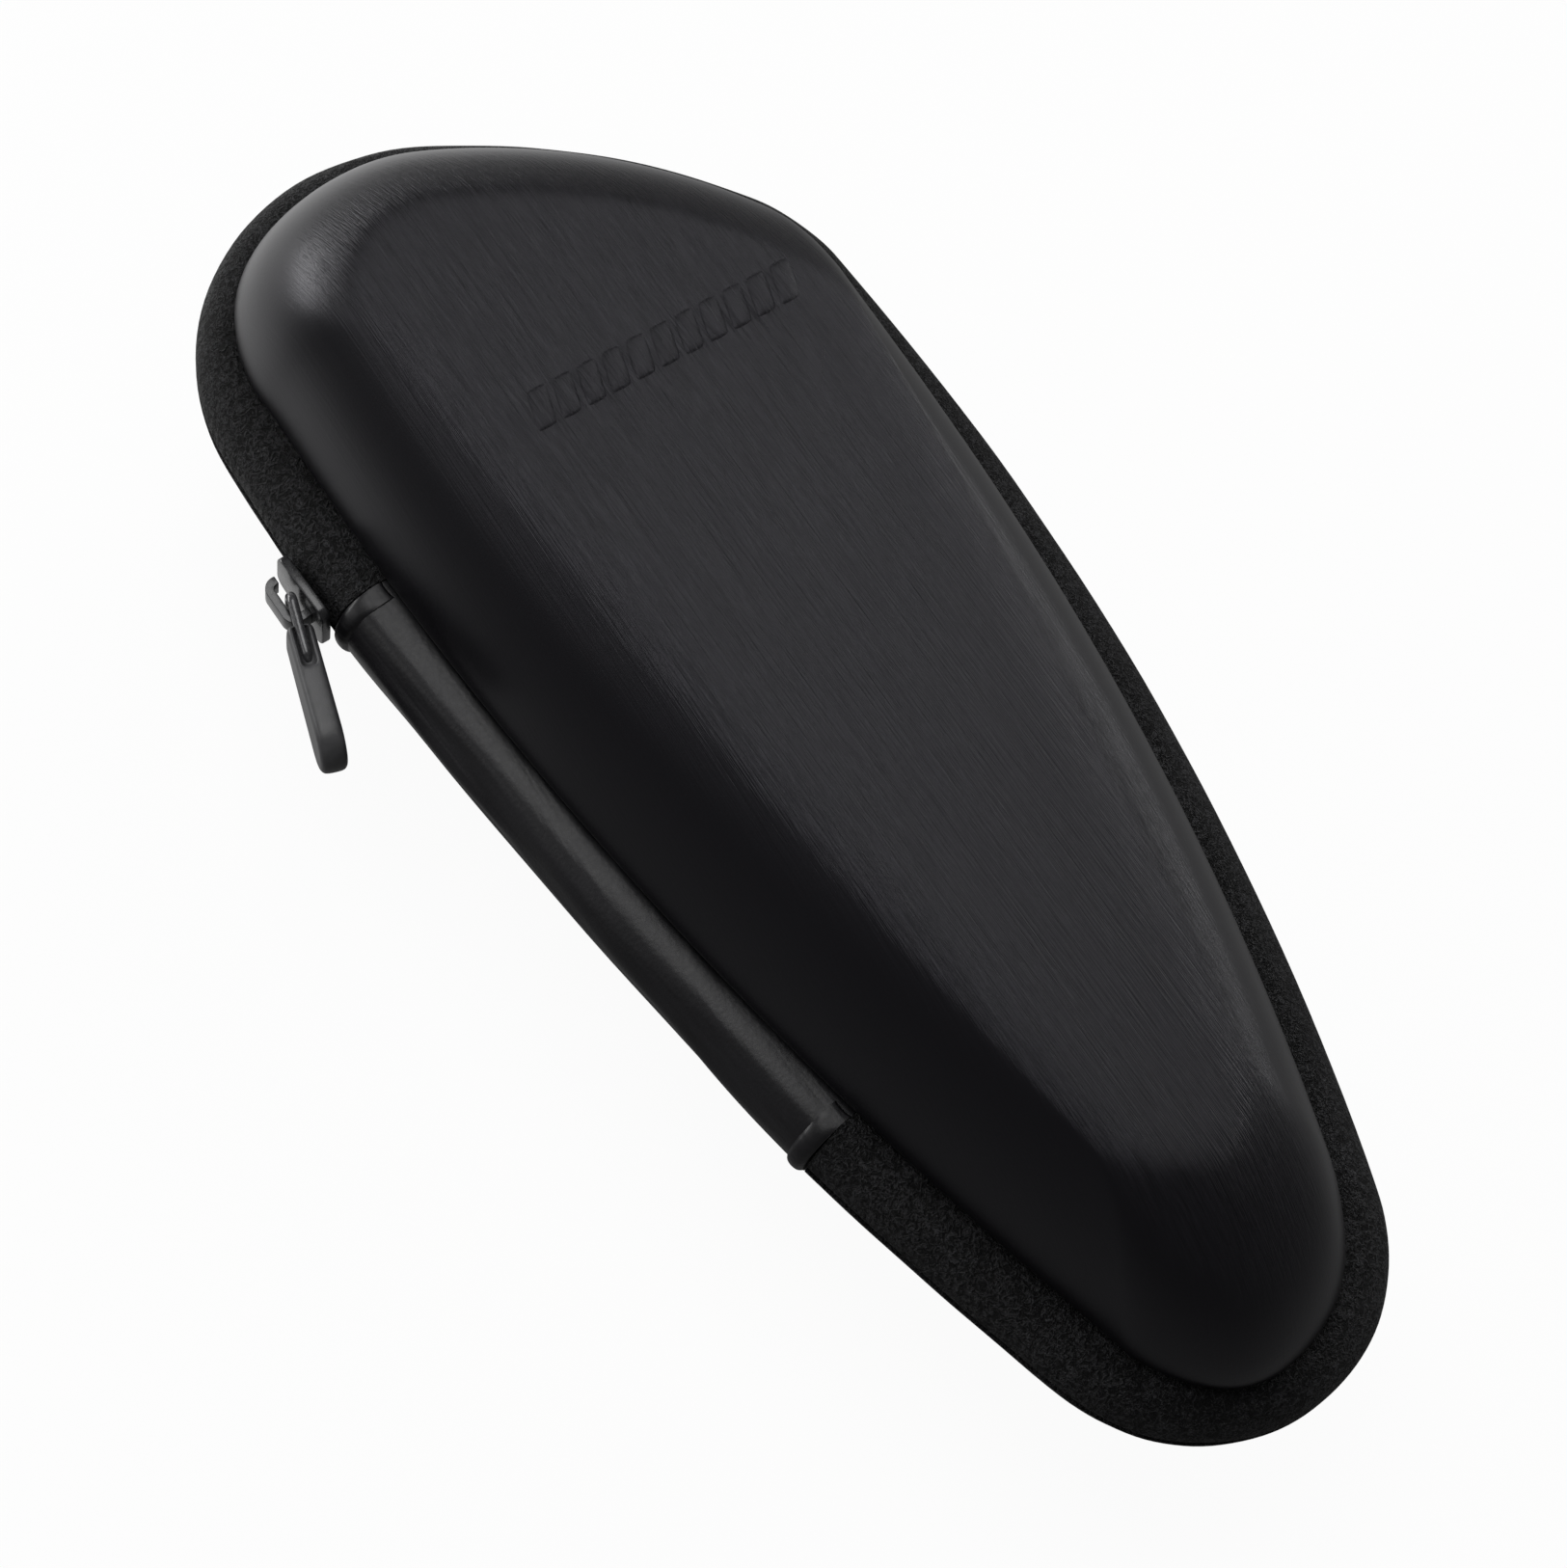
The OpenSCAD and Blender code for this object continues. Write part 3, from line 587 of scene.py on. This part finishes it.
# %% The section of one tape
BULGE = 4.7
BAND_R = (BAND_HALF ** 2 + BULGE ** 2) / (2 * BULGE)
TAPE_IN = BAND_R - 1.2
INNER = RIM + WALL + LINING
SPINE_HEAD, SPINE_TIP = math.radians(181.379), math.radians(192.372)
FLANK = band_arcs[5][:3]
CLEAR = 0.3 / FLANK[2]

def bow(radius, z):
    """Inset of the round back of the band at height z."""
    return BAND_R - math.sqrt(radius ** 2 - z ** 2)

tape_section = [(bow(BAND_R, z), z) for z in (0.5, 0.9, 1.7, 2.6, 3.5, 4.3, 4.9, 5.3, 5.5)]
tape_section += [(BULGE + 0.5, BAND_HALF), (INNER - 1, BAND_HALF), (INNER, BAND_HALF - 0.1),
                 (INNER, 4.5)]
tape_section += [(bow(TAPE_IN, z) + 0.1, z) for z in (4.2, 3.2, 2.2, 1.2, 0.55)]

tip_flank = (*FLANK, SPINE_TIP + CLEAR - 2 * math.pi, band_arcs[0][3])
head_flank = (*FLANK, band_arcs[5][3], SPINE_HEAD - CLEAR)
zip_arcs = [tip_flank, *band_arcs[:5]]
ZIP_STEPS = (9, *ARC_STEPS[:5])
print("zip runs through", round(math.degrees(zip_arcs[-1][4] - zip_arcs[0][3])), "degrees")

# %% Carry a section along the band
def uneven_weave(share, place, z):
    """Cloth is never quite even: a quarter of a millimetre in or out."""
    return 0.25 * noise.noise(place * 0.12 + Vector((0, 0, z)))

def band_piece(name, arcs, steps, section, finish, body=None, node=None,
               flip=False, closed=False, smooth=1, push=None):
    """A closed section of [inset, z] points carried along arcs. push(share, place, z) moves
    a point inwards by so many millimetres."""
    bm = bmesh.new()
    places = stations(arcs, steps, closed)
    inset, z = section[0]
    made = [spun_line(bm, arcs, steps, closed, inset, z)]
    for inset, z in section[1:]:
        moved = [push(k / (len(places) - 1), at(s, 0, 0), z) if push else 0
                 for k, s in enumerate(places)]
        made.append(next_line(bm, made[-1], [at(s, inset + d, z) for s, d in zip(places, moved)]))
    bmesh.ops.bridge_loops(bm, edges=line_edges(made[-1]) + line_edges(made[0]))
    pattern_map(bm, made)
    if not closed:
        crease = bm.edges.layers.float.new("crease_edge")
        for k in (0, -1):
            for edge in bm.faces.new([line[k] for line in made]).edges:
                edge[crease] = 1.0
                edge.smooth = False
    if flip:
        bmesh.ops.scale(bm, verts=bm.verts, vec=(1, 1, -1))
    return make_piece(bm, name, finish, body, node, smooth)

whole_arcs, whole_steps = [*zip_arcs, head_flank], (*ZIP_STEPS, 9)
band_piece("base_tape", whole_arcs, whole_steps, tape_section, tape_finish,
           "base", "lower_zip_tape", flip=True, push=uneven_weave)
band_piece("lid_tape", zip_arcs, ZIP_STEPS, tape_section, tape_finish,
           "lid", "upper_zip_tape", push=uneven_weave)
band_piece("lid_tape_end", [head_flank], (12,), tape_section, tape_finish,
           "lid", "upper_tape_end", push=uneven_weave)

# %% [markdown]
# ## The zip's teeth
#
# The teeth are one long plastic thread, wound into loops and sewn to the back
# of the tape. Each loop is a bent rod. One rod is made by spinning a small
# ring, and copies of it stand along the tape at the pitch of the ribs. A copy
# has only a few dozen faces, because there are hundreds of them.

# %% One loop of the coil, and its copies
def coil_tooth():
    """A half ring in the plane of the band's section, thicker where it meets its neighbour."""
    bm = bmesh.new()
    bmesh.ops.create_circle(bm, segments=6, radius=0.36,
                            matrix=Matrix.Translation((0.62, 0, 0))
                            @ Matrix.Rotation(math.pi / 2, 4, "X"))
    bmesh.ops.spin(bm, geom=list(bm.verts) + list(bm.edges), cent=(0, 0, 0), axis=(0, 1, 0),
                   angle=-math.pi, steps=5)
    for v in bm.verts:
        v.co.z *= 1.5
    bmesh.ops.holes_fill(bm, edges=[e for e in bm.edges if e.is_boundary])
    mesh = bpy.data.meshes.new("coil_tooth")
    bm.to_mesh(mesh)
    bm.free()
    return mesh

def coil_finish():
    coil = Finish("coil_plastic", (0.014, 0.014, 0.015), 0.35)
    haze = coil.grain(coil.place((0.5, 0.5, 0.5)), 1.0, 2.0, 0.5)
    coil.set(Roughness=0.28 + haze * 0.2,
             Base_Color=coil.tint(haze, (0.009, 0.009, 0.01), (0.022, 0.022, 0.024)))
    return coil

teeth_finish = coil_finish()
TEETH_INSET, TEETH_Z = 2.1, 1.35

def teeth_row(name, arcs, body, node, flip, offset):
    tooth = coil_tooth()
    bm = bmesh.new()
    walked = offset
    for x, y, r, a, b in arcs:
        reach = r - TEETH_INSET
        while walked < (b - a) * reach:
            angle = a + walked / reach
            bm.verts.ensure_lookup_table()
            before = len(bm.verts)
            bm.from_mesh(tooth)
            bm.verts.ensure_lookup_table()
            spot = (Matrix.Translation((x, y, TEETH_Z)) @ Matrix.Rotation(angle, 4, "Z")
                    @ Matrix.Translation((reach, 0, 0)))
            bmesh.ops.transform(bm, matrix=spot, verts=bm.verts[before:])
            walked += TEETH_PITCH
        walked -= (b - a) * reach
    bpy.data.meshes.remove(tooth)
    if flip:
        bmesh.ops.scale(bm, verts=bm.verts, vec=(1, 1, -1))
    return make_piece(bm, name, teeth_finish, body, node, 0)

teeth_row("base_teeth", whole_arcs, "base", "lower_zip_coil", True, 0.5)
teeth_row("lid_teeth", zip_arcs, "lid", "upper_zip_coil", False, 1.2)
teeth_row("lid_teeth_end", [head_flank], "lid", "upper_coil_end", False, 0.9)

# %% [markdown]
# ## The binding inside the rim
#
# A narrow ribbon is folded over the raw edges of tape, foam and lining, and
# sewn through. The row of stitches is drawn by the material: it repeats along
# the pattern map, and only in the middle of the ribbon.

# %% Ribbon and stitches
def ribbon_finish(name, dark, light, pitch=0.55, stitch_at=None):
    ribbon = Finish(name, dark, 0.75, **{"Sheen Weight": 0.15, "Specular IOR Level": 0.3})
    weave = ribbon.place(source="pattern")
    along, across = ribbon.part(weave, 0), ribbon.part(weave, 1)
    ridge = ribbon.add("Math", {"operation": "SINE"}, {0: along * (2 * math.pi / pitch)})
    cross = ribbon.add("Math", {"operation": "SINE"}, {0: across * (2 * math.pi / (pitch * 0.7))})
    hairs = ribbon.grain(ribbon.place((4, 4, 4)), 1.0, 2.0, 0.6)
    cloth = ridge * cross * 0.4 + hairs * 0.6
    height = cloth
    if stitch_at:
        dash = ribbon.add("Math", {"operation": "SINE"}, {0: along * (2 * math.pi / 3.0)})
        thread = (1 - (across - stitch_at).size().ramp(0.1, 0.35)) * dash.ramp(-0.55, -0.25)
        height = cloth + thread * 1.6
        cloth = cloth + thread * 0.5
    ribbon.set(Base_Color=ribbon.tint(cloth.ramp(-0.2, 1.0), dark, light),
               Roughness=0.72 + hairs * 0.15, Normal=ribbon.raised(height, 0.00018, 0.9))
    return ribbon

binding_finish = ribbon_finish("binding_ribbon", (0.008, 0.008, 0.008), (0.032, 0.032, 0.033),
                               stitch_at=3.1)
binding_section = [(INNER, 3.25), (INNER, 5.2), (INNER + 0.15, 5.5), (INNER + 0.6, 5.55),
                   (INNER + 1.1, 5.3), (INNER + 1.38, 4.8), (INNER + 1.38, 4.1),
                   (INNER + 1.15, 3.55), (INNER + 0.6, 3.22)]
for half in ("lid", "base"):
    band_piece(f"{half}_binding", band_arcs, ARC_STEPS, binding_section, binding_finish, half,
               "upper_binding" if half == "lid" else "lower_binding",
               flip=half == "base", closed=True)

# %% [markdown]
# ## The hinge spine
#
# The hinge is a strip of leatherette glued and sewn over the band. It bulges a
# little, runs straighter than the flank under it, and has long soft folds from
# being bent. At each end it disappears under a folded ring, the welt.

# %% Leatherette
def leatherette():
    leather = Finish("leatherette", (0.016, 0.0155, 0.017), 0.38, **{"Specular IOR Level": 0.32})
    place = leather.place((1, 1, 1))
    pores = leather.add("TexVoronoi", {"feature": "SMOOTH_F1"},
                        {"Vector": place, "Scale": 1.9, "Smoothness": 0.6})
    fine = leather.grain(place, 6.0, 2.0, 0.5)
    folds = leather.grain(leather.place((0.22, 0.035, 0.3), (0, 0, 0.12)), 1.0, 3.0, 0.55, 0.4)
    worn = leather.grain(leather.place((0.15, 0.03, 0.3), (0, 0, 0.12)), 1.0, 3.0, 0.6)
    leather.set(Base_Color=leather.tint((worn * 0.8 + folds * 0.4).ramp(0.35, 0.9),
                                        (0.004, 0.0038, 0.0045), (0.016, 0.0155, 0.018)),
                Roughness=0.3 + worn * 0.16 + pores * 0.06,
                Normal=leather.raised(pores * 0.2 + fine * 0.1 + folds * 3.0, 0.00010, 0.8))
    return leather

leather_finish = leatherette()

# %% Spine and welts
SPINE_R = 900
spine_middle = math.radians(186.8757)
spine_half_turn = math.radians(2.7327)
spine_arc = (854.545, 107.219, SPINE_R,
             spine_middle - spine_half_turn, spine_middle + spine_half_turn)

def soft_folds(share, place, z):
    """Long shallow folds that fade towards the sewn ends and the sewn edges."""
    fade = min(1, 6 * share, 6 - 6 * share) * max(0, 1 - (z / 5.2) ** 4)
    return fade * 0.75 * noise.noise(Vector((place.x * 0.05, place.y * 0.05, z * 0.42)))

heights = (5.0, 4.4, 3.7, 2.9, 2.1, 1.3, 0.5, -0.4, -1.3, -2.1, -2.9, -3.7, -4.4, -5.0)
spine_section = [(9.5, 5.4), (7.1, 5.36), (5.4, 5.3), (4.45, 5.24)]
spine_section += [(bow(BAND_R, z), z) for z in heights]
spine_section += [(4.45, -5.24), (5.4, -5.3), (7.1, -5.36), (9.5, -5.4),
                  (9.5, -4.9), (7.1, -4.3), (5.6, -3.9)]
spine_section += [(bow(BAND_R - 1.4, z), z) for z in (-3.4, -1.8, 0, 1.8, 3.4)]
spine_section += [(5.6, 3.9), (7.1, 4.3), (9.5, 4.9)]
spine = band_piece("spine", [spine_arc], (44,), spine_section, leather_finish, None, "hinge_spine",
                   smooth=2, push=soft_folds)

def welt(name, first, node):
    """A rolled ring over the end of the strip: its height follows half a circle."""
    arc = (*spine_arc[:3], first, first + 2.5 / SPINE_R)
    levels = (5.4, 4.9, 4.0, 3.0, 2.0, 1.0, 0, -1.0, -2.0, -3.0, -4.0, -4.9, -5.4)
    section = [(7.0, 5.3), (6.4, 5.5), (5.4, 5.58)] + [(bow(BAND_R, z), z) for z in levels]
    section += [(5.4, -5.58), (6.4, -5.5), (7.0, -5.3)]
    section += [(bow(BAND_R, z) + 0.35, z) for z in (-4.9, -3.0, -1.0, 1.0, 3.0, 4.9)]
    def rolled(share, place, z):
        half_circle = math.sqrt(max(0, 1 - (2 * share - 1) ** 2))
        return -0.68 * half_circle * min(1, max(0, 5.7 - abs(z)) * 2)
    return band_piece(name, [arc], (8,), section, leather_finish, None, node, push=rolled)

head_welt = welt("head_welt", spine_arc[3] + 0.05 / SPINE_R, "spine_welt_head")
tip_welt = welt("tip_welt", spine_arc[4] - 2.55 / SPINE_R, "spine_welt_tip")
for piece in (spine, head_welt, tip_welt):
    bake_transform(piece)

# %% [markdown]
# ## The gusset, the strap and the net pocket
#
# Three cloth pieces are inside. A gusset covers the back of the hinge. A wide
# elastic strap holds the shaver in the base. In the lid, a net pocket with an
# elastic hem takes the cord or a brush. The net is a real grid: each cell's
# edges become thin strands with the wireframe operator.

# %% Gusset
gusset_arc = (*FLANK, SPINE_HEAD, SPINE_TIP)
gusset_section = [(11.4, -5.2), (11.3, -3), (11.3, 0), (11.3, 3), (11.4, 5.2),
                  (12.1, 5.2), (12.0, 3), (12.0, 0), (12.0, -3), (12.1, -5.2)]
gusset_finish = ribbon_finish("gusset_cloth", (0.008, 0.008, 0.009), (0.03, 0.03, 0.032), 0.7)
gusset = band_piece("gusset", [gusset_arc], (30,), gusset_section, gusset_finish, None,
                    "hinge_gusset",
                    push=lambda share, place, z: 0.25 * math.sin(share * 70) * (z / 5) ** 2)
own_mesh(gusset)
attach(gusset, "base")

# %% Strap
def inner_edge(y, inset, zip_side):
    """x of the inside of the rim at y, on one flank or the other."""
    x, cy, r = band_arcs[1][:3] if zip_side else band_arcs[5][:3]
    reach = math.sqrt((r - inset) ** 2 - (y - cy) ** 2)
    return x + reach if zip_side else x - reach

def cloth_strip(name, y_low, y_high, inset, z, shape, finish, body, node, thick,
                cuts=(48, 14)):
    """A strip from one inner edge of the case to the other. shape(s, t) gives its height."""
    bm = bmesh.new()
    bmesh.ops.create_grid(bm, x_segments=cuts[0], y_segments=cuts[1], size=0.5)
    layer = bm.loops.layers.uv.new("pattern")
    for v in bm.verts:
        s, t = v.co.x + 0.5, v.co.y + 0.5
        y = y_low + (y_high - y_low) * t
        left, right = inner_edge(y, inset, False), inner_edge(y, inset, True)
        v.co = Vector((left + (right - left) * s, y, z + shape(s, t)))
    for face in bm.faces:
        for loop in face.loops:
            loop[layer].uv = (loop.vert.co.x, loop.vert.co.y)
    bmesh.ops.solidify(bm, geom=bm.faces, thickness=thick)
    return make_piece(bm, name, finish, body, node, 1)

elastic_finish = ribbon_finish("elastic_weave", (0.007, 0.007, 0.008), (0.034, 0.034, 0.036), 0.9)
strap = cloth_strip("strap", 2.3, 21.7, 10.0, -6.2, lambda s, t: 0.25 * math.cos(6.2832 * t) - 0.15,
                    elastic_finish, "base", "retaining_strap", 0.6)

# %% Net pocket
POCKET_Y = 8.0

def inside_case(x, y, inset):
    """True where a point is further inside the outline than inset."""
    if y < band_arcs[0][1]:
        cx, cy, r = band_arcs[0][:3]
        return math.hypot(x - cx, y - cy) < r - inset
    return inner_edge(y, inset, False) < x < inner_edge(y, inset, True)

def net(pitch=2.6):
    bm = bmesh.new()
    bmesh.ops.create_grid(bm, x_segments=62, y_segments=62, size=pitch * 31)
    bmesh.ops.rotate(bm, verts=bm.verts, cent=(0, 0, 0),
                     matrix=Matrix.Rotation(math.pi / 4, 3, "Z"))
    bmesh.ops.scale(bm, verts=bm.verts, vec=(0.85, 1.15, 1))
    bmesh.ops.translate(bm, verts=bm.verts, vec=(0, -40, 0))
    outside = [v for v in bm.verts
               if v.co.y > POCKET_Y - 1 or v.co.y < -90 or not inside_case(v.co.x, v.co.y, 11.0)]
    bmesh.ops.delete(bm, geom=outside, context="VERTS")
    for v in bm.verts:
        v.co.z = 6.0 - 0.1 * noise.noise(v.co * 0.05)
    bmesh.ops.wireframe(bm, faces=bm.faces, thickness=0.42, use_replace=True, use_boundary=True,
                        use_even_offset=True)
    return make_piece(bm, "pocket_net", net_finish, "lid", "mesh_pocket", 0)

def cord_finish():
    cord = Finish("net_cord", (0.012, 0.012, 0.013), 0.6, **{"Sheen Weight": 0.1})
    twist = cord.grain(cord.place((1.5, 1.5, 1.5)), 1.4, 3.0, 0.6, 0.5)
    cord.set(Base_Color=cord.tint(twist.ramp(0.3, 0.8), (0.008, 0.008, 0.009), (0.04, 0.04, 0.043)),
             Roughness=0.5 + twist * 0.3, Normal=cord.raised(twist, 0.00012, 0.8))
    return cord

net_finish = cord_finish()
pocket_net = net()
left_start = -math.pi - math.asin((POCKET_Y - FLANK[1]) / FLANK[2])
zip_side_arc = band_arcs[1]
right_end = math.asin((POCKET_Y - zip_side_arc[1]) / zip_side_arc[2])
while right_end < zip_side_arc[3]:
    right_end += 2 * math.pi
edge_arcs = [(*FLANK, left_start, tip_flank[4]), band_arcs[0], (*zip_side_arc[:4], right_end)]
edge_section = [(9.95, 5.68), (9.95, 6.15), (11.4, 6.2), (12.9, 6.1), (12.9, 5.72), (11.4, 5.65)]
pocket_edge = band_piece("pocket_edge", edge_arcs, (14, 26, 14), edge_section, elastic_finish,
                         "lid")
hem = cloth_strip("elastic_hem", 3.2, 7.8, 10.5, 6.4,
                  lambda s, t: (0.5 + 0.35 * math.sin(s * 88) * math.sin(math.pi * t)
                                + 0.3 * math.sin(math.pi * t)),
                  elastic_finish, "lid", "pocket_hem", 0.6, (120, 6))

# %% [markdown]
# ## Slider, hook and link
#
# These are small cast and bent metal parts with a glossy black coat. Their CAD
# shapes are right, but a real casting has no sharp edge. A copy of each mesh is
# merged, its flat faces are joined, and on the slider and its hook every sharp
# edge gets a small bevel. The link is round wire and needs none.

# %% Soften a copy of a CAD node
def coated_metal(name, dark, light, roughness):
    coat = Finish(name, dark, roughness, **{"Coat Weight": 0.3, "Coat Roughness": 0.12})
    specks = coat.grain(coat.place((2.2, 2.2, 2.2)), 1.0, 3.0, 0.6)
    rub = coat.grain(coat.place((0.6, 0.6, 0.6)), 1.0, 4.0, 0.65)
    coat.set(Base_Color=coat.tint((rub * 0.7 + specks * 0.4).ramp(0.3, 0.9), dark, light),
             Roughness=roughness + (specks - 0.5) * 0.2, Metallic=rub.ramp(0.3, 0.7) * 0.35,
             Normal=coat.raised(specks, 0.00003, 0.6))
    return coat

metal_finish = coated_metal("black_nickel", (0.006, 0.006, 0.007), (0.035, 0.035, 0.038), 0.28)
wire_finish = coated_metal("link_wire", (0.02, 0.02, 0.022), (0.12, 0.12, 0.125), 0.25)

def softened(name, node, bevel, finish, body, segments=3, angle=35):
    bm = bmesh.new()
    bm.from_mesh(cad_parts[node].data)
    bmesh.ops.remove_doubles(bm, verts=bm.verts, dist=2e-6)
    bmesh.ops.dissolve_limit(bm, angle_limit=math.radians(1), verts=bm.verts, edges=bm.edges)
    bmesh.ops.scale(bm, verts=bm.verts, vec=(1000, 1000, 1000))
    sharp = [e for e in bm.edges
             if len(e.link_faces) == 2 and e.calc_face_angle(0) > math.radians(angle)]
    if bevel and sharp:
        bmesh.ops.bevel(bm, geom=sharp, offset=bevel, offset_type="OFFSET", segments=segments,
                        profile=0.5, affect="EDGES", clamp_overlap=True, material=-1)
    return make_piece(bm, name, finish, body, node, 0, up=0)

softened("slider", "slider_body", 0.28, metal_finish, "slider")
softened("hook", "slider_bridge", 0.36, metal_finish, "slider", 4)
softened("link", "pull_link", 0, wire_finish, "pull")

# %% [markdown]
# ## The rubber pull
#
# The pull is a soft paddle, moulded over the ends of the wire link. Its outline
# is again three corners and three long arcs, so the same helper draws it. It
# lies on its side: the lines go through its thickness, from one broad face to
# the other, and the two legs of the link lie in slots in its narrow sides.

# %% Paddle
SLIDER_TURN = math.radians(180.676)
slider_frame = (Matrix.Translation((FLANK[0], FLANK[1], 0)) @ Matrix.Rotation(SLIDER_TURN, 4, "Z")
                @ Matrix.Translation((FLANK[2], 0, 0)))
PULL_TURN = -math.radians(18)
pull_frame = slider_frame @ Matrix.Translation((2.6, -0.4, 0)) @ Matrix.Rotation(PULL_TURN, 4, "Z")

def rubber():
    soft = Finish("pull_rubber", (0.02, 0.02, 0.021), 0.42)
    bloom = soft.grain(soft.place((0.25, 0.25, 0.25)), 1.0, 3.0, 0.6)
    matt = soft.grain(soft.place((5, 5, 5)), 1.0, 2.0, 0.6)
    soft.set(Base_Color=soft.tint(bloom.ramp(0.3, 0.8), (0.04, 0.04, 0.042), (0.075, 0.075, 0.078)),
             Roughness=0.36 + bloom * 0.14, Normal=soft.raised(matt, 0.00004, 0.5))
    return soft

def paddle():
    start, length, wide = 4.1, 18.5, 8.0
    arcs = six_arcs((-1.9, -start - 1.2, 1.2), (1.9, -start - 1.2, 1.2),
                    (0, -start - length + wide / 2, wide / 2), 14, 300, 300)
    steps = (12, 16, 5, 6, 5, 16)
    places = stations(arcs, steps)
    bm = bmesh.new()
    rings = [(1.5, -1.62), (0.8, -1.7), (0.22, -1.4), (0.0, -0.9)]
    rings += [(inset, -z) for inset, z in reversed(rings)]
    made = [spun_line(bm, arcs, steps, True, *rings[0])]
    for inset, z in rings[1:]:
        made.append(next_line(bm, made[-1], [at(s, inset, z) for s in places]))
    cap(bm, made[0])
    cap(bm, made[-1])
    side = {v for line in made[3:5] for v in line}
    slots = [f for f in bm.faces if all(v in side for v in f.verts)
             and -10.2 < f.calc_center_median().y < -start - 0.4
             and abs(f.calc_center_median().x) > 2]
    bmesh.ops.inset_region(bm, faces=slots, thickness=0.1)
    for v in {v for f in slots for v in f.verts}:
        v.co.x -= math.copysign(1.15, v.co.x)
    turn = Matrix(((0, 0, 1, 0), (0, -1, 0, 0), (1, 0, 0, 0), (0, 0, 0, 1)))
    bmesh.ops.transform(bm, matrix=pull_frame @ turn, verts=bm.verts)
    return make_piece(bm, "pull_paddle", rubber(), "pull", None, 2)

pull_tab_piece = paddle()
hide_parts("pull_tab")
